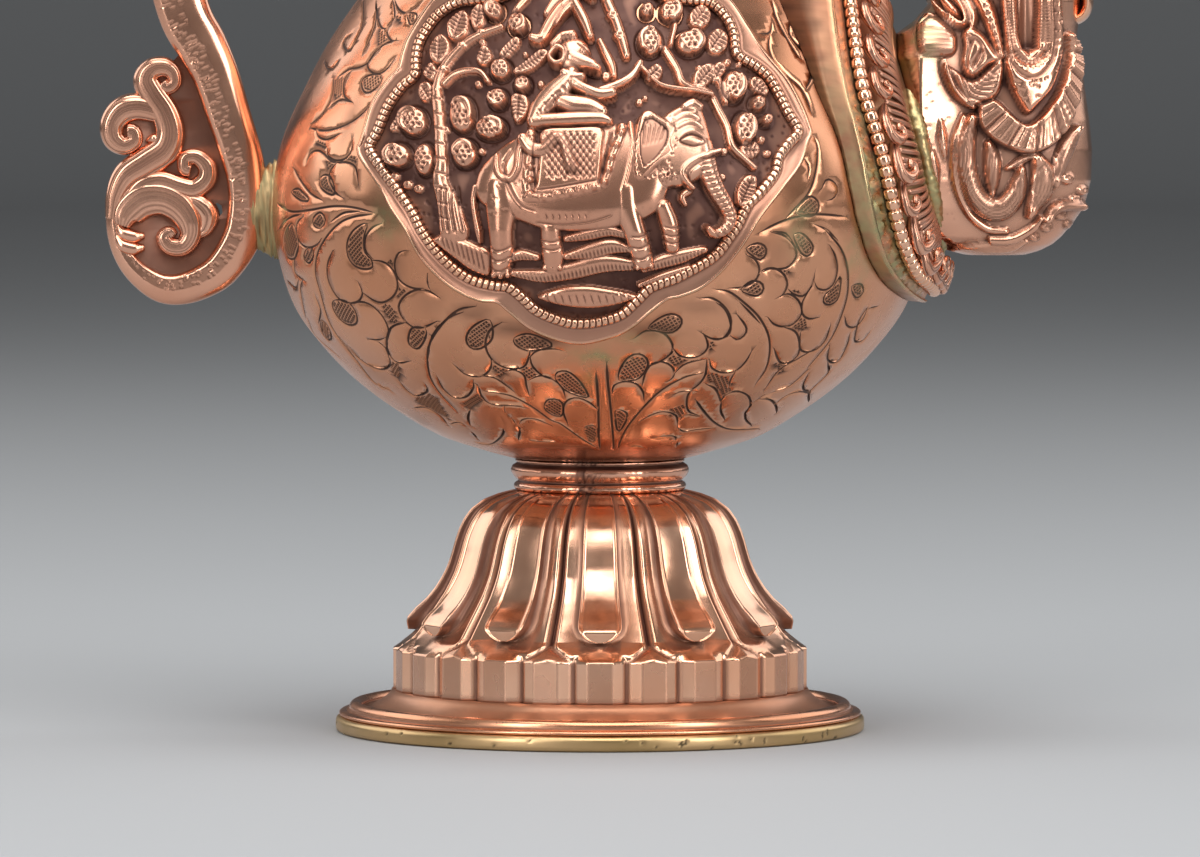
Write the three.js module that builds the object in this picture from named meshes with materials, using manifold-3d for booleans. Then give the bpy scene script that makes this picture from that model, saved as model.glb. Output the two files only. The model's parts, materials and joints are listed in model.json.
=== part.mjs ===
// A Himalayan ritual ewer in raised and cast copper: a foot ring, a fluted bell pedestal, a bulbous
// belly with a relief medallion front and back, a scrolled bar handle, a sea-dragon (makara) head
// that carries the spout, and a waisted neck with a flat mouth and a lift-off lid.
// Millimetres, +Z up. The origin is the centre of the face it stands on. The spout is on the +X
// side, the handle on the -X side, and the front medallion faces -Y.
import * as THREE from "three";
import { mergeVertices } from "three/addons/utils/BufferGeometryUtils.js";
import Module from "manifold-3d";

const wasm = await Module();
wasm.setup();

// Fits
const gap = 0.3; // between two pieces that are cut to each other
const overrun = 2; // how far a cutter runs past what it cuts
const mergeDistance = 0.0001; // two points of one piece that are nearer than this are one
const sheet = 1.4; // wall of the raised copper pieces

// Foot
const footRadius = 46;
const footRingWidth = 14;
const footRingThickness = 2.7;
const flangeHeight = 4.6;
const flangeEdgeThickness = 0.8;
const flangeEdgeInset = 0.6;
const flangeBeadInset = 3.1;
const flangeBeadRadius = 1.1;

// Pedestal and the collar above it
const pedestalHeight = 34.5;
const pedestalInset = 9.9; // the pedestal's foot, in from the foot ring's edge
const pedestalTopRadius = 14.8;
const pedestalHoleRadius = 11;
const tongueCount = 12;
const collarHeight = 5.7;
const collarRadius = 15.5;
const collarEdgeRadius = 14.4;

// Belly
const bellyRadius = 56.8;
const bellyHeight = 102.5;
const bellySeatRadius = 15.3;
const bellyMouthRadius = 17;
const shoulderRiseShare = 0.7; // the seam between the bowl and the shoulder, of the belly's height

// Medallions on the front and the back
const medallionWidthShare = 0.6585; // half its width, of the belly's radius
const medallionHeightShare = 0.3298; // half its height, of the belly's height
const medallionRiseShare = 0.5454; // its centre above the belly's lowest point, of the belly's height
const medallionTurn = -3.5; // degrees round the belly, from the ewer's front
const medallionBandWidth = 4.1;
const medallionBandThickness = 1.5;
const ropeRadius = 1.05;
const ropeInset = 2.6;
const ropeClearance = 0.5; // a straight stretch of rope over the curved band
const reliefFloorThickness = 1.1;
const reliefDepth = 3.2;

// Oval medallion at the spout's root
const spoutRiseShare = 0.521; // the root's centre above the belly's lowest point, of the belly's height
const spoutPlateRiseShare = 0.572; // the plate's centre above that point, of the belly's height
const spoutPlateShare = 0.3073; // half the plate's height, of the belly's height
const spoutPlateWidthShare = 1.14; // half its width, of half its height
const spoutPlateThickness = 1.4;
const spoutRopeInset = 2.8;
const spoutScrollCount = 9;
const spoutScrollShare = 0.04; // the scrolls' thickness, of half the plate's height
const spoutScrollWidthShare = 1.25; // the scrolls' half width, of their thickness
const spoutScrollClearance = 0.44;
const spoutRootShare = 0.502; // the root's radius on the belly, of half the plate's height
const spoutRootEndShare = 0.4253; // and its radius in the head
const spoutRingRadius = 1.3;

// Makara head
const makaraReach = 28.6; // the head's far side, measured out from the belly's widest line
const makaraHalfDepth = 16.2;
const makaraHalfWidth = 14.2;
const makaraHeightShare = 1.429; // its top above the root's centre, of half the spout plate's height
const makaraCurlRiseShare = 0.578; // its snout curl above the root's centre, of the head's height
const makaraCurlInset = 2.8;
const makaraCurlRadius = 3.3;
const makaraCurlHalfWidth = 7;

// Spout tube
const spoutHoleRadius = 6.5;
const spoutBoreRadius = 4.8;
const spoutWall = 1.3;
const spoutSeatDepth = 12;
const spoutHeightAboveHead = 46;
const spoutLean = 9.9;
const spoutLipRadius = 8.4;
const spoutLipHeight = 3.4;

// Handle
const handlePatternHeight = 55.5; // the length that the handle's shares are taken of
const handleRiseShare = 0.7746; // the pattern's top, above the belly's lowest point, of its height
const handleBellyClearance = 1.06; // between the pattern's right edge and the belly
const handleNeckClearance = 8; // between the bar's upper end and the neck's top
const handleTopDrop = 6.3; // the bar's upper end, below the mouth
const handleWidth = 9.3;
const handleDepthShare = 0.8;
const scrollWebThickness = 2.4;
const handleLugWidth = 7;
const handleLugHeight = 17;
const handleTopLugRadius = 3.6;

// Neck and mouth
const neckCollarHeight = 4.4;
const neckCollarRadius = 19.4;
const neckCollarEdgeRadius = 17.8;
const neckHeight = 34;
const neckFootRadius = 17;
const neckWaistRadius = 14.9;
const neckTopRadius = 19;
const neckBandRadius = 18;
const mouthRadius = 27;
const mouthThickness = 2;
const mouthRimRadius = 1.5;

// Lid
const lidRadius = 22.5;
const lidThickness = 1.8;
const lidEdgeInset = 0.7;
const lidDomeRadius = 19;
const lidDomeHeight = 11;
const lidDomeTopRadius = 4.4;
const lidPlugDepth = 13;
const lidPlugClearance = 0.9;
const lotusRadius = 7.4;
const lotusHeight = 5;
const jewelRadius = 5.4;
const jewelHeight = 16;

// Counts of sides
const roundSides = 36;
const middleSides = 28;
const smallSides = 18;
const boreSides = 12;
const wireSides = 5;

// Sizes that follow from these
const footHoleRadius = footRadius - footRingWidth;
const pedestalFootRadius = footRadius - pedestalInset;
const flangeBase = footRingThickness;
const pedestalBase = flangeBase + flangeHeight;
const collarBase = pedestalBase + pedestalHeight;
const bellyBase = collarBase + collarHeight;
const bellyTop = bellyBase + bellyHeight;
const neckBase = bellyTop + neckCollarHeight;
const mouthBase = neckBase + neckHeight;
const mouthTop = mouthBase + mouthThickness;
const domeBase = mouthTop + lidThickness;
const lotusBase = domeBase + lidDomeHeight;
const jewelBase = lotusBase + lotusHeight;
const shoulderBase = bellyBase + shoulderRiseShare * bellyHeight;
const medallionHeight = bellyBase + medallionRiseShare * bellyHeight;
const medallionHalfHeight = medallionHeightShare * bellyHeight;
const medallionHalfWidth = medallionWidthShare * bellyRadius;
const spoutHeight = bellyBase + spoutRiseShare * bellyHeight;
const spoutPlateHeight = bellyBase + spoutPlateRiseShare * bellyHeight;
const spoutPlateHalfHeight = spoutPlateShare * bellyHeight;
const spoutPlateHalfWidth = spoutPlateWidthShare * spoutPlateHalfHeight;
const spoutScrollThickness = spoutScrollShare * spoutPlateHalfHeight;
const spoutRootRadius = spoutRootShare * spoutPlateHalfHeight;
const handlePatternTop = bellyBase + handleRiseShare * bellyHeight;
const makaraAxis = bellyRadius + makaraReach - makaraHalfDepth;
const makaraHeight = makaraHeightShare * spoutPlateHalfHeight;
const makaraTop = spoutHeight + makaraHeight;
const neckHoleRadius = neckWaistRadius - sheet;

const FRONT = -Math.PI / 2;
const medallionHeading = FRONT + THREE.MathUtils.degToRad(medallionTurn);
const metal = (color, roughness) => new THREE.MeshStandardMaterial({ color, metalness: 1, roughness });
const copper = metal(0xc8795a, 0.3);
const paleCopper = metal(0xd99a78, 0.25);
const redCopper = metal(0xb5664a, 0.38);
const brass = metal(0xb99a58, 0.4);

// Geometry to solid and back

function solidFrom(geometry) {
  const bare = geometry.index ? geometry.toNonIndexed() : geometry.clone();
  for (const key of Object.keys(bare.attributes)) {
    if (key !== "position") bare.deleteAttribute(key);
  }
  const merged = mergeVertices(bare, mergeDistance);
  return new wasm.Manifold(
    new wasm.Mesh({
      numProp: 3,
      vertProperties: new Float32Array(merged.attributes.position.array),
      triVerts: new Uint32Array(merged.index.array),
    }),
  );
}

function geometryFrom(solid) {
  const made = solid.getMesh();
  const geometry = new THREE.BufferGeometry();
  geometry.setAttribute("position", new THREE.BufferAttribute(new Float32Array(made.vertProperties), 3));
  geometry.setIndex(new THREE.BufferAttribute(new Uint32Array(made.triVerts), 1));
  geometry.computeVertexNormals();
  return geometry;
}

function joined(geometries) {
  return geometries.map(solidFrom).reduce((all, one) => all.add(one));
}

// A closed surface made of rings of points: an open stack gets two fan caps, and a closed one
// joins its last ring to its first.
function ringStack(rings, closed = false) {
  const sides = rings[0].length;
  const points = rings.flat();
  const faces = [];
  const links = closed ? rings.length : rings.length - 1;
  for (let i = 0; i < links; i += 1) {
    const a = i * sides;
    const b = ((i + 1) % rings.length) * sides;
    for (let j = 0; j < sides; j += 1) {
      const k = (j + 1) % sides;
      faces.push(a + j, b + k, b + j, a + j, a + k, b + k);
    }
  }
  if (!closed) {
    const last = (rings.length - 1) * sides;
    const middle = (ring) => ring.reduce((sum, p) => sum.add(p), new THREE.Vector3()).divideScalar(sides);
    const start = points.push(middle(rings[0])) - 1;
    const end = points.push(middle(rings[rings.length - 1])) - 1;
    for (let j = 0; j < sides; j += 1) {
      const k = (j + 1) % sides;
      faces.push(start, k, j, end, last + j, last + k);
    }
  }
  const geometry = new THREE.BufferGeometry().setFromPoints(points);
  geometry.setIndex(faces);
  geometry.computeVertexNormals();
  return geometry;
}

// A profile of [radius, height] points, outside going up, turned round the Z axis. One that starts
// off the axis is closed on itself.
function turned(profile, sides = roundSides) {
  const points = profile.map(([radius, height]) => new THREE.Vector2(radius, height));
  if (profile[0][0] > 0) points.push(points[0].clone());
  return new THREE.LatheGeometry(points, sides).rotateX(Math.PI / 2);
}

// Points of an arc that bulges from an edge radius to a full one between two heights.
function bulge(edgeRadius, fullRadius, low, high, steps = 4) {
  return Array.from({ length: steps + 1 }, (_, i) => {
    const share = i / steps;
    const radius = edgeRadius + (fullRadius - edgeRadius) * Math.sin(Math.PI * share);
    return [radius, low + (high - low) * share];
  });
}

// A rod along points with a half width for each. side(point) is the direction of its depth.
function rod(points, halfWidths, side, sides, { depthShare = 1, closed = false } = {}) {
  const count = points.length;
  const rings = points.map((point, i) => {
    const before = points[closed ? (i + count - 1) % count : Math.max(i - 1, 0)];
    const after = points[closed ? (i + 1) % count : Math.min(i + 1, count - 1)];
    const along = after.clone().sub(before).normalize();
    const across = side(point).clone().cross(along).normalize();
    const deep = along.clone().cross(across);
    return Array.from({ length: sides }, (_, j) => {
      const angle = (2 * Math.PI * (j + 0.5)) / sides;
      return point
        .clone()
        .addScaledVector(across, halfWidths[i] * Math.cos(angle))
        .addScaledVector(deep, halfWidths[i] * depthShare * Math.sin(angle));
    });
  });
  return ringStack(rings, closed);
}

const wire = (line, radius) => rod(line, line.map(() => radius), outwards, wireSides, { closed: true });

function barrelAlongX(startRadius, endRadius, from, to, height, sides = smallSides) {
  const geometry = new THREE.CylinderGeometry(startRadius, endRadius, to - from, sides);
  return solidFrom(geometry.rotateZ(Math.PI / 2).translate((from + to) / 2, 0, height));
}

function barrelAlongZ(radius, from, to, x, sides = boreSides) {
  const geometry = new THREE.CylinderGeometry(radius, radius, to - from, sides);
  return solidFrom(geometry.rotateX(Math.PI / 2).translate(x, 0, (from + to) / 2));
}

const outwards = (point) => new THREE.Vector3(point.x, point.y, 0).normalize();
const alongY = () => new THREE.Vector3(0, 1, 0);

// Belly: its outer profile in shares of its radius and its height, from its seat to its mouth

const bellyOutlineShares = [
  [0.354, 0.013], [0.493, 0.039], [0.627, 0.083], [0.745, 0.132], [0.84, 0.185], [0.926, 0.249],
  [0.972, 0.317], [1, 0.4], [0.992, 0.483], [0.962, 0.551], [0.902, 0.624], [0.833, 0.698],
  [0.738, 0.776], [0.629, 0.854], [0.502, 0.922], [0.38, 0.971],
];
const bellyOutline = [
  [bellySeatRadius, bellyBase],
  ...bellyOutlineShares.map(([radius, height]) => [radius * bellyRadius, bellyBase + height * bellyHeight]),
  [bellyMouthRadius, bellyTop],
];

// An outline's radius at a height, straight between its points.
function radiusAt(outline, height) {
  const last = outline.length - 1;
  const next = outline.findIndex((point) => point[1] > height);
  if (next <= 0) return outline[next === 0 ? 0 : last][0];
  const [lowRadius, low] = outline[next - 1];
  const [highRadius, high] = outline[next];
  return lowRadius + ((highRadius - lowRadius) * (height - low)) / (high - low);
}

// A point on a turned outline, moved out by offset. The heading is an angle round Z, and sideways
// lies to the right of one who faces the outline from there.
function onTurned(outline, sideways, height, offset, heading) {
  const radius = radiusAt(outline, height);
  const angle = heading + Math.asin(THREE.MathUtils.clamp(sideways / radius, -1, 1));
  return new THREE.Vector3(
    (radius + offset) * Math.cos(angle),
    (radius + offset) * Math.sin(angle),
    height,
  );
}

// An outline as a full solid, grown by offset: it cuts what lies on it.
function turnedBody(outline, offset) {
  const grown = outline.map(([radius, height]) => [radius + offset, height]);
  return solidFrom(turned([[0, outline[0][1]], ...grown, [0, outline[outline.length - 1][1]]]));
}

const bellyBody = (offset) => turnedBody(bellyOutline, offset);

// The raised shell of the belly, with the hole for the spout.
function bellyShell() {
  const inside = bellyOutline.slice(1, -1).map(([radius, height], i) => {
    const run = bellyOutline[i + 2][0] - bellyOutline[i][0];
    const rise = bellyOutline[i + 2][1] - bellyOutline[i][1];
    const length = Math.hypot(run, rise);
    return [radius - (sheet * rise) / length, height + (sheet * run) / length];
  });
  const shell = turned([
    [0, bellyBase],
    ...bellyOutline,
    [bellyMouthRadius - sheet, bellyTop],
    ...inside.filter((_, i) => i % 2 === 1).reverse(),
    [0, bellyBase + sheet],
  ]);
  return solidFrom(shell).subtract(spoutPassage());
}

const belly = () => geometryFrom(bellyShell().trimByPlane([0, 0, -1], -shoulderBase));
const bellyShoulder = () => geometryFrom(bellyShell().trimByPlane([0, 0, 1], shoulderBase));

// Foot

function footRing() {
  return turned([
    [footHoleRadius, 0],
    [footRadius, 0],
    [footRadius, footRingThickness],
    [footHoleRadius, footRingThickness],
  ]);
}

function footFlange() {
  const edge = footRadius - flangeEdgeInset;
  const bead = footRadius - flangeBeadInset;
  const edgeTop = flangeBase + flangeEdgeThickness;
  const hole = pedestalFootRadius - 2 * sheet;
  return turned([
    [hole, flangeBase],
    [edge, flangeBase],
    [edge, edgeTop],
    [bead + flangeBeadRadius, edgeTop],
    [bead, edgeTop + flangeBeadRadius],
    [bead - flangeBeadRadius, edgeTop],
    [(bead + pedestalFootRadius) / 2, (edgeTop + pedestalBase) / 2],
    [pedestalFootRadius, pedestalBase],
    [hole, pedestalBase],
  ]);
}

// Pedestal: half a flute runs from the middle of a raised tongue to the middle of the groove beside
// it. A level holds its height share, the shares of the half flute's angle at which its columns
// stand, and those columns' radius shares between the top's radius and the foot's.

const facetColumnShares = [0.42, 0.52, 1];
const tongueColumnShares = [0.43, 0.55, 1];
const fluteLevelShares = [
  [0, facetColumnShares, [1, 0.96, 1]],
  [0.194, facetColumnShares, [0.98, 0.945, 0.98]],
  [0.25, facetColumnShares, [0.865, 0.845, 0.9]],
  [0.287, tongueColumnShares, [0.826, 0.826, 0.865]],
  [0.3, tongueColumnShares, [0.883, 0.815, 0.84]],
  [0.38, tongueColumnShares, [0.873, 0.768, 0.735]],
  [0.446, tongueColumnShares, [0.714, 0.655, 0.61]],
  [0.548, tongueColumnShares, [0.601, 0.545, 0.49]],
  [0.699, tongueColumnShares, [0.502, 0.448, 0.39]],
  [0.849, tongueColumnShares, [0.423, 0.373, 0.319]],
  [0.925, tongueColumnShares, [0.329, 0.284, 0.239]],
  [0.983, tongueColumnShares, [0.122, 0.098, 0.075]],
  [1, tongueColumnShares, [0, 0, 0]],
];

function pedestal() {
  const halfFlute = Math.PI / tongueCount;
  const radiusAt = (share) => pedestalTopRadius + (pedestalFootRadius - pedestalTopRadius) * share;
  const heightAt = (share) => pedestalBase + share * pedestalHeight;
  const outside = fluteLevelShares.map(([heightShare, columnShares, radiusShares]) => {
    const right = columnShares.map((share, i) => [share, radiusAt(radiusShares[i])]);
    const left = right.slice(0, -1).reverse().map(([share, radius]) => [-share, radius]);
    const flute = [...left, ...right];
    return Array.from({ length: tongueCount }, (_, i) =>
      flute.map(([share, radius]) => {
        const angle = FRONT + (2 * i + share) * halfFlute;
        return new THREE.Vector3(
          radius * Math.cos(angle),
          radius * Math.sin(angle),
          heightAt(heightShare),
        );
      }),
    ).flat();
  });
  const inside = fluteLevelShares
    .filter((_, i) => [0, 5, 7, 9].includes(i))
    .map(([heightShare, , radiusShares]) => [
      radiusAt(Math.min(...radiusShares)) - sheet,
      heightAt(heightShare),
    ]);
  inside[0][1] -= overrun;
  const hollow = turned(
    [
      [0, inside[0][1]],
      ...inside,
      [pedestalHoleRadius, collarBase - sheet],
      [pedestalHoleRadius, collarBase + overrun],
      [0, collarBase + overrun],
    ],
    middleSides,
  );
  return geometryFrom(solidFrom(ringStack(outside)).subtract(solidFrom(hollow)));
}

function stemCollar() {
  const outside = bulge(collarEdgeRadius, collarRadius, collarBase, bellyBase);
  return turned(
    [...outside, [pedestalHoleRadius, bellyBase], [pedestalHoleRadius, collarBase]],
    middleSides,
  );
}

// Medallions: a quarter of the outline, in shares of the half width and the half height, from the
// side cusp through two notches to the lower lobe

const quarterOutlineShares = [
  [1, 0], [0.924, 0.233], [0.78, 0.5], [0.695, 0.658], [0.57, 0.77], [0.395, 0.802], [0.28, 0.9],
  [0.14, 0.98], [0, 1],
];

function medallionOutline(inset) {
  const mirrored = (points, x, z) => points.map(([across, up]) => [across * x, up * z]);
  const inner = quarterOutlineShares.slice(1);
  const corners = [
    ...mirrored(quarterOutlineShares, 1, -1),
    ...mirrored(quarterOutlineShares.slice(0, -1).reverse(), -1, -1),
    ...mirrored(inner, -1, 1),
    ...mirrored(inner.slice(0, -1).reverse(), 1, 1),
  ].map(([across, up]) => new THREE.Vector2(across * medallionHalfWidth, up * medallionHalfHeight));
  return corners.map((corner, i) => {
    const before = corners[(i + corners.length - 1) % corners.length];
    const after = corners[(i + 1) % corners.length];
    const along = after.clone().sub(before).normalize();
    return corner.clone().add(new THREE.Vector2(along.y, -along.x).multiplyScalar(inset));
  });
}

function medallionPrism(inset) {
  const shape = new THREE.Shape(medallionOutline(inset));
  const depth = bellyRadius + reliefDepth + medallionBandThickness + overrun;
  const prism = new THREE.ExtrudeGeometry(shape, { depth, bevelEnabled: false });
  const upright = prism.rotateX(Math.PI / 2).translate(0, 0, medallionHeight);
  return solidFrom(upright.rotateZ(medallionHeading - FRONT));
}

function medallionBand() {
  const layer = bellyBody(gap + medallionBandThickness).subtract(bellyBody(gap));
  const ring = medallionPrism(0).subtract(medallionPrism(medallionBandWidth));
  return geometryFrom(layer.intersect(ring));
}

function medallionRope() {
  const offset = gap + medallionBandThickness + ropeClearance + ropeRadius;
  const line = medallionOutline(ropeInset).map((corner) =>
    onTurned(bellyOutline, corner.x, medallionHeight + corner.y, offset, medallionHeading),
  );
  return wire(line, ropeRadius);
}

// Relief. Places are shares of the medallion's half width and half height from its centre, sizes
// are shares of its half height, and the last share of a mound is its share of the relief's depth.

const bodyMoundShares = [
  [-0.32, -0.22, 0.19, 0.21, 0.85], [0.06, -0.23, 0.29, 0.21, 1], [0.45, -0.05, 0.18, 0.2, 1],
  [-0.06, -0.02, 0.22, 0.09, 1], [-0.1, 0.22, 0.09, 0.15, 0.8], [-0.1, 0.42, 0.08, 0.08, 0.9],
  [-0.08, 0.58, 0.08, 0.09, 0.7], [-0.05, 0.8, 0.09, 0.07, 0.7], [-0.02, -0.68, 0.46, 0.08, 0.4],
];
const limbShares = [
  [[-0.37, -0.3], [-0.39, -0.46], [-0.39, -0.62], [0.08, 0.065]],
  [[-0.19, -0.34], [-0.17, -0.46], [-0.16, -0.6], [0.07, 0.06]],
  [[0.17, -0.3], [0.2, -0.45], [0.24, -0.59], [0.08, 0.065]],
  [[0.28, -0.26], [0.36, -0.38], [0.39, -0.52], [0.07, 0.06]],
  [[0.52, -0.08], [0.61, -0.24], [0.6, -0.44], [0.08, 0.045]],
  [[-0.6, -0.36], [-0.65, 0], [-0.62, 0.34], [0.06, 0.05]],
  [[-0.62, 0.34], [-0.48, 0.52], [-0.22, 0.56], [0.05, 0.035]],
  [[0.02, 0.14], [0.3, 0.3], [0.6, 0.14], [0.04, 0.035]],
];
const fruitPlaceShares = [
  [-0.79, 0.11], [-0.84, -0.07], [-0.48, 0.18], [-0.4, 0.36], [-0.3, 0.74], [0.3, 0.5], [0.5, 0.5],
  [0.79, 0.16], [0.17, 0.72],
];
const fruitSizeShare = 0.08;
const fruitLiftShare = 0.6;

function onMedallion(x, z, offset) {
  const height = medallionHeight + z * medallionHalfHeight;
  return onTurned(bellyOutline, x * medallionHalfWidth, height, offset, medallionHeading);
}

function reliefMound([x, z, halfWidthShare, halfHeightShare, liftShare], across = 8, down = 4) {
  const geometry = new THREE.SphereGeometry(1, across, down).scale(
    halfWidthShare * medallionHalfHeight,
    liftShare * reliefDepth + reliefFloorThickness,
    halfHeightShare * medallionHalfHeight,
  );
  const place = onMedallion(x, z, gap);
  return geometry.rotateZ(Math.atan2(place.y, place.x) - FRONT).translate(place.x, place.y, place.z);
}

function reliefLimb([start, middle, end, [startShare, endShare]]) {
  const lift = gap + reliefFloorThickness + reliefDepth / 3;
  const line = [start, middle, end].map(([x, z]) => onMedallion(x, z, lift));
  const halfWidths = [startShare, (startShare + endShare) / 2, endShare];
  return rod(line, halfWidths.map((share) => share * medallionHalfHeight), outwards, wireSides);
}

function reliefPanel() {
  const prism = medallionPrism(medallionBandWidth + gap);
  const figures = joined([
    ...bodyMoundShares.map((one) => reliefMound(one)),
    ...limbShares.map(reliefLimb),
    ...fruitPlaceShares.map(([x, z]) =>
      reliefMound([x, z, fruitSizeShare, fruitSizeShare, fruitLiftShare], 6, 3),
    ),
  ]);
  const floor = bellyBody(gap + reliefFloorThickness);
  return geometryFrom(floor.add(figures).intersect(prism).subtract(bellyBody(gap)));
}

// Oval medallion at the spout's root. Its face is a profile in shares of the belly's radius and
// height, and stands off the belly at its upper and lower end.

const spoutFaceShares = [
  [0.94, 0.2], [0.985, 0.26], [1.012, 0.317], [1.036, 0.4], [1.03, 0.483], [1.004, 0.551],
  [0.96, 0.624], [0.912, 0.698], [0.855, 0.776], [0.788, 0.854], [0.74, 0.9],
];
const spoutFaceOutline = spoutFaceShares.map(([radius, height]) => [
  radius * bellyRadius,
  bellyBase + height * bellyHeight,
]);
const spoutFaceBody = (offset) => turnedBody(spoutFaceOutline, offset);

function spoutRingLine(halfWidth, halfHeight, height, offset, count) {
  return Array.from({ length: count }, (_, i) => {
    const angle = (2 * Math.PI * i) / count;
    const sideways = halfWidth * Math.cos(angle);
    return onTurned(spoutFaceOutline, sideways, height + halfHeight * Math.sin(angle), offset, 0);
  });
}

function spoutPlateLine(inset, offset, count) {
  const halfWidth = spoutPlateHalfWidth - inset;
  return spoutRingLine(halfWidth, spoutPlateHalfHeight - inset, spoutPlateHeight, offset, count);
}

function spoutPlateBarrel(inset) {
  const halfHeight = spoutPlateHalfHeight - inset;
  const reach = bellyRadius + makaraReach;
  const disc = barrelAlongX(halfHeight, halfHeight, 0, reach, spoutPlateHeight, middleSides);
  return disc.scale([1, (spoutPlateHalfWidth - inset) / halfHeight, 1]);
}

function spoutPlate() {
  const root = barrelAlongX(spoutRootRadius, spoutRootRadius, 0, bellyRadius + makaraReach, spoutHeight);
  const hollow = spoutPlateBarrel(spoutPlateThickness)
    .intersect(spoutFaceBody(-spoutPlateThickness))
    .subtract(root);
  const plate = spoutPlateBarrel(0).intersect(spoutFaceBody(0)).subtract(bellyBody(gap));
  return geometryFrom(plate.subtract(hollow).subtract(spoutPassage()));
}

function spoutRope() {
  return wire(spoutPlateLine(spoutRopeInset, ropeClearance + ropeRadius, 38), ropeRadius);
}

function spoutScrolls() {
  const count = 3 * spoutScrollCount;
  const halfWidth = spoutScrollThickness * spoutScrollWidthShare;
  const inset = spoutRopeInset + ropeRadius + spoutScrollClearance + halfWidth;
  const line = spoutPlateLine(inset, ropeClearance + spoutScrollThickness / 2, count);
  const halfWidths = line.map((_, i) => (i % 3 ? halfWidth : spoutScrollThickness));
  const ring = rod(line, halfWidths, outwards, wireSides, { closed: true });
  return geometryFrom(solidFrom(ring).subtract(spoutFaceBody(ropeClearance)));
}

function spoutRootRing() {
  const radius = spoutRootRadius + gap + spoutRingRadius;
  const line = spoutRingLine(radius, radius, spoutHeight, ropeClearance + spoutRingRadius, 22);
  const ring = solidFrom(wire(line, spoutRingRadius));
  return geometryFrom(ring.subtract(makaraRoot(gap)).subtract(makaraBody(gap)));
}

// Makara head: a level holds its height share, its half depth share, its half width share, and how
// far its centre is shifted along X as a share of the half depth.

const makaraLevelShares = [
  [-0.407, 0.43, 0.42, -0.09], [-0.349, 0.654, 0.65, -0.1], [-0.271, 0.864, 0.84, -0.04],
  [-0.193, 0.957, 0.94, -0.01], [0, 1, 1, 0], [0.191, 0.969, 1, -0.03], [0.38, 0.93, 0.97, -0.05],
  [0.578, 0.827, 0.93, -0.02], [0.758, 0.76, 0.88, 0], [0.891, 0.68, 0.8, 0.01], [1, 0.58, 0.7, 0.01],
];

// The barrel that joins the head to the belly, grown by an offset.
function makaraRoot(offset) {
  return barrelAlongX(
    spoutRootEndShare * spoutPlateHalfHeight + offset,
    spoutRootRadius + offset,
    bellyRadius - 4 * overrun,
    makaraAxis,
    spoutHeight,
  );
}

function makaraBody(offset) {
  const rings = makaraLevelShares.map(([heightShare, depthShare, widthShare, shiftShare], level) =>
    Array.from({ length: smallSides }, (_, i) => {
      const angle = (2 * Math.PI * i) / smallSides;
      const halfDepth = makaraHalfDepth * depthShare + offset;
      return new THREE.Vector3(
        makaraAxis + makaraHalfDepth * shiftShare + halfDepth * Math.cos(angle),
        (makaraHalfWidth * widthShare + offset) * Math.sin(angle),
        spoutHeight + heightShare * makaraHeight - (level ? 0 : offset),
      );
    }),
  );
  return solidFrom(ringStack(rings));
}

function makaraHead() {
  const curlRise = makaraCurlRiseShare * makaraHeight;
  const curl = new THREE.SphereGeometry(1, 10, 6)
    .scale(makaraCurlRadius, makaraCurlHalfWidth, makaraCurlRadius)
    .translate(makaraAxis + makaraHalfDepth - makaraCurlInset, 0, spoutHeight + curlRise);
  const seat = barrelAlongZ(
    spoutBoreRadius + spoutWall + gap,
    makaraTop - spoutSeatDepth,
    makaraTop + overrun,
    makaraAxis,
  );
  return geometryFrom(
    makaraBody(0)
      .add(solidFrom(curl))
      .add(makaraRoot(0))
      .subtract(spoutFaceBody(gap))
      .subtract(spoutPassage())
      .subtract(seat),
  );
}

// The way that the water takes: along X out of the belly, then up through the head.
function spoutPassage() {
  const level = barrelAlongX(
    spoutHoleRadius,
    spoutHoleRadius,
    bellyRadius / 2,
    makaraAxis,
    spoutHeight,
    boreSides,
  );
  return level.add(barrelAlongZ(spoutBoreRadius, spoutHeight, makaraTop + overrun, makaraAxis));
}

// Spout tube: its line rises in an S between two upright ends, and its centres are shares of the
// lean and of the height.

const spoutLineShares = [
  [0, 0], [0, 0.2], [0.07, 0.36], [0.28, 0.52], [0.6, 0.68], [0.86, 0.8], [1, 0.9], [1, 1],
];

function spoutTube() {
  const low = makaraTop - spoutSeatDepth;
  const high = makaraTop + spoutHeightAboveHead;
  const line = spoutLineShares.map(
    ([lean, rise]) => new THREE.Vector3(makaraAxis + lean * spoutLean, 0, low + rise * (high - low)),
  );
  const bore = line.map((point) => point.clone());
  bore[0].z -= overrun;
  bore[bore.length - 1].z += overrun;
  const tube = (path, radius) => solidFrom(rod(path, path.map(() => radius), alongY, boreSides));
  return geometryFrom(tube(line, spoutBoreRadius + spoutWall).subtract(tube(bore, spoutBoreRadius)));
}

function spoutLip() {
  const hole = spoutBoreRadius + spoutWall + gap;
  const high = makaraTop + spoutHeightAboveHead;
  const outside = bulge(hole + spoutWall, spoutLipRadius, high - spoutLipHeight, high);
  const lip = turned([...outside, [hole, high], [hole, high - spoutLipHeight]], smallSides);
  return lip.translate(makaraAxis + spoutLean, 0, 0);
}

// Handle. Places are shares of the pattern's height, to the right of its left edge and down from
// its top; the third share is the bar's width.

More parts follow.
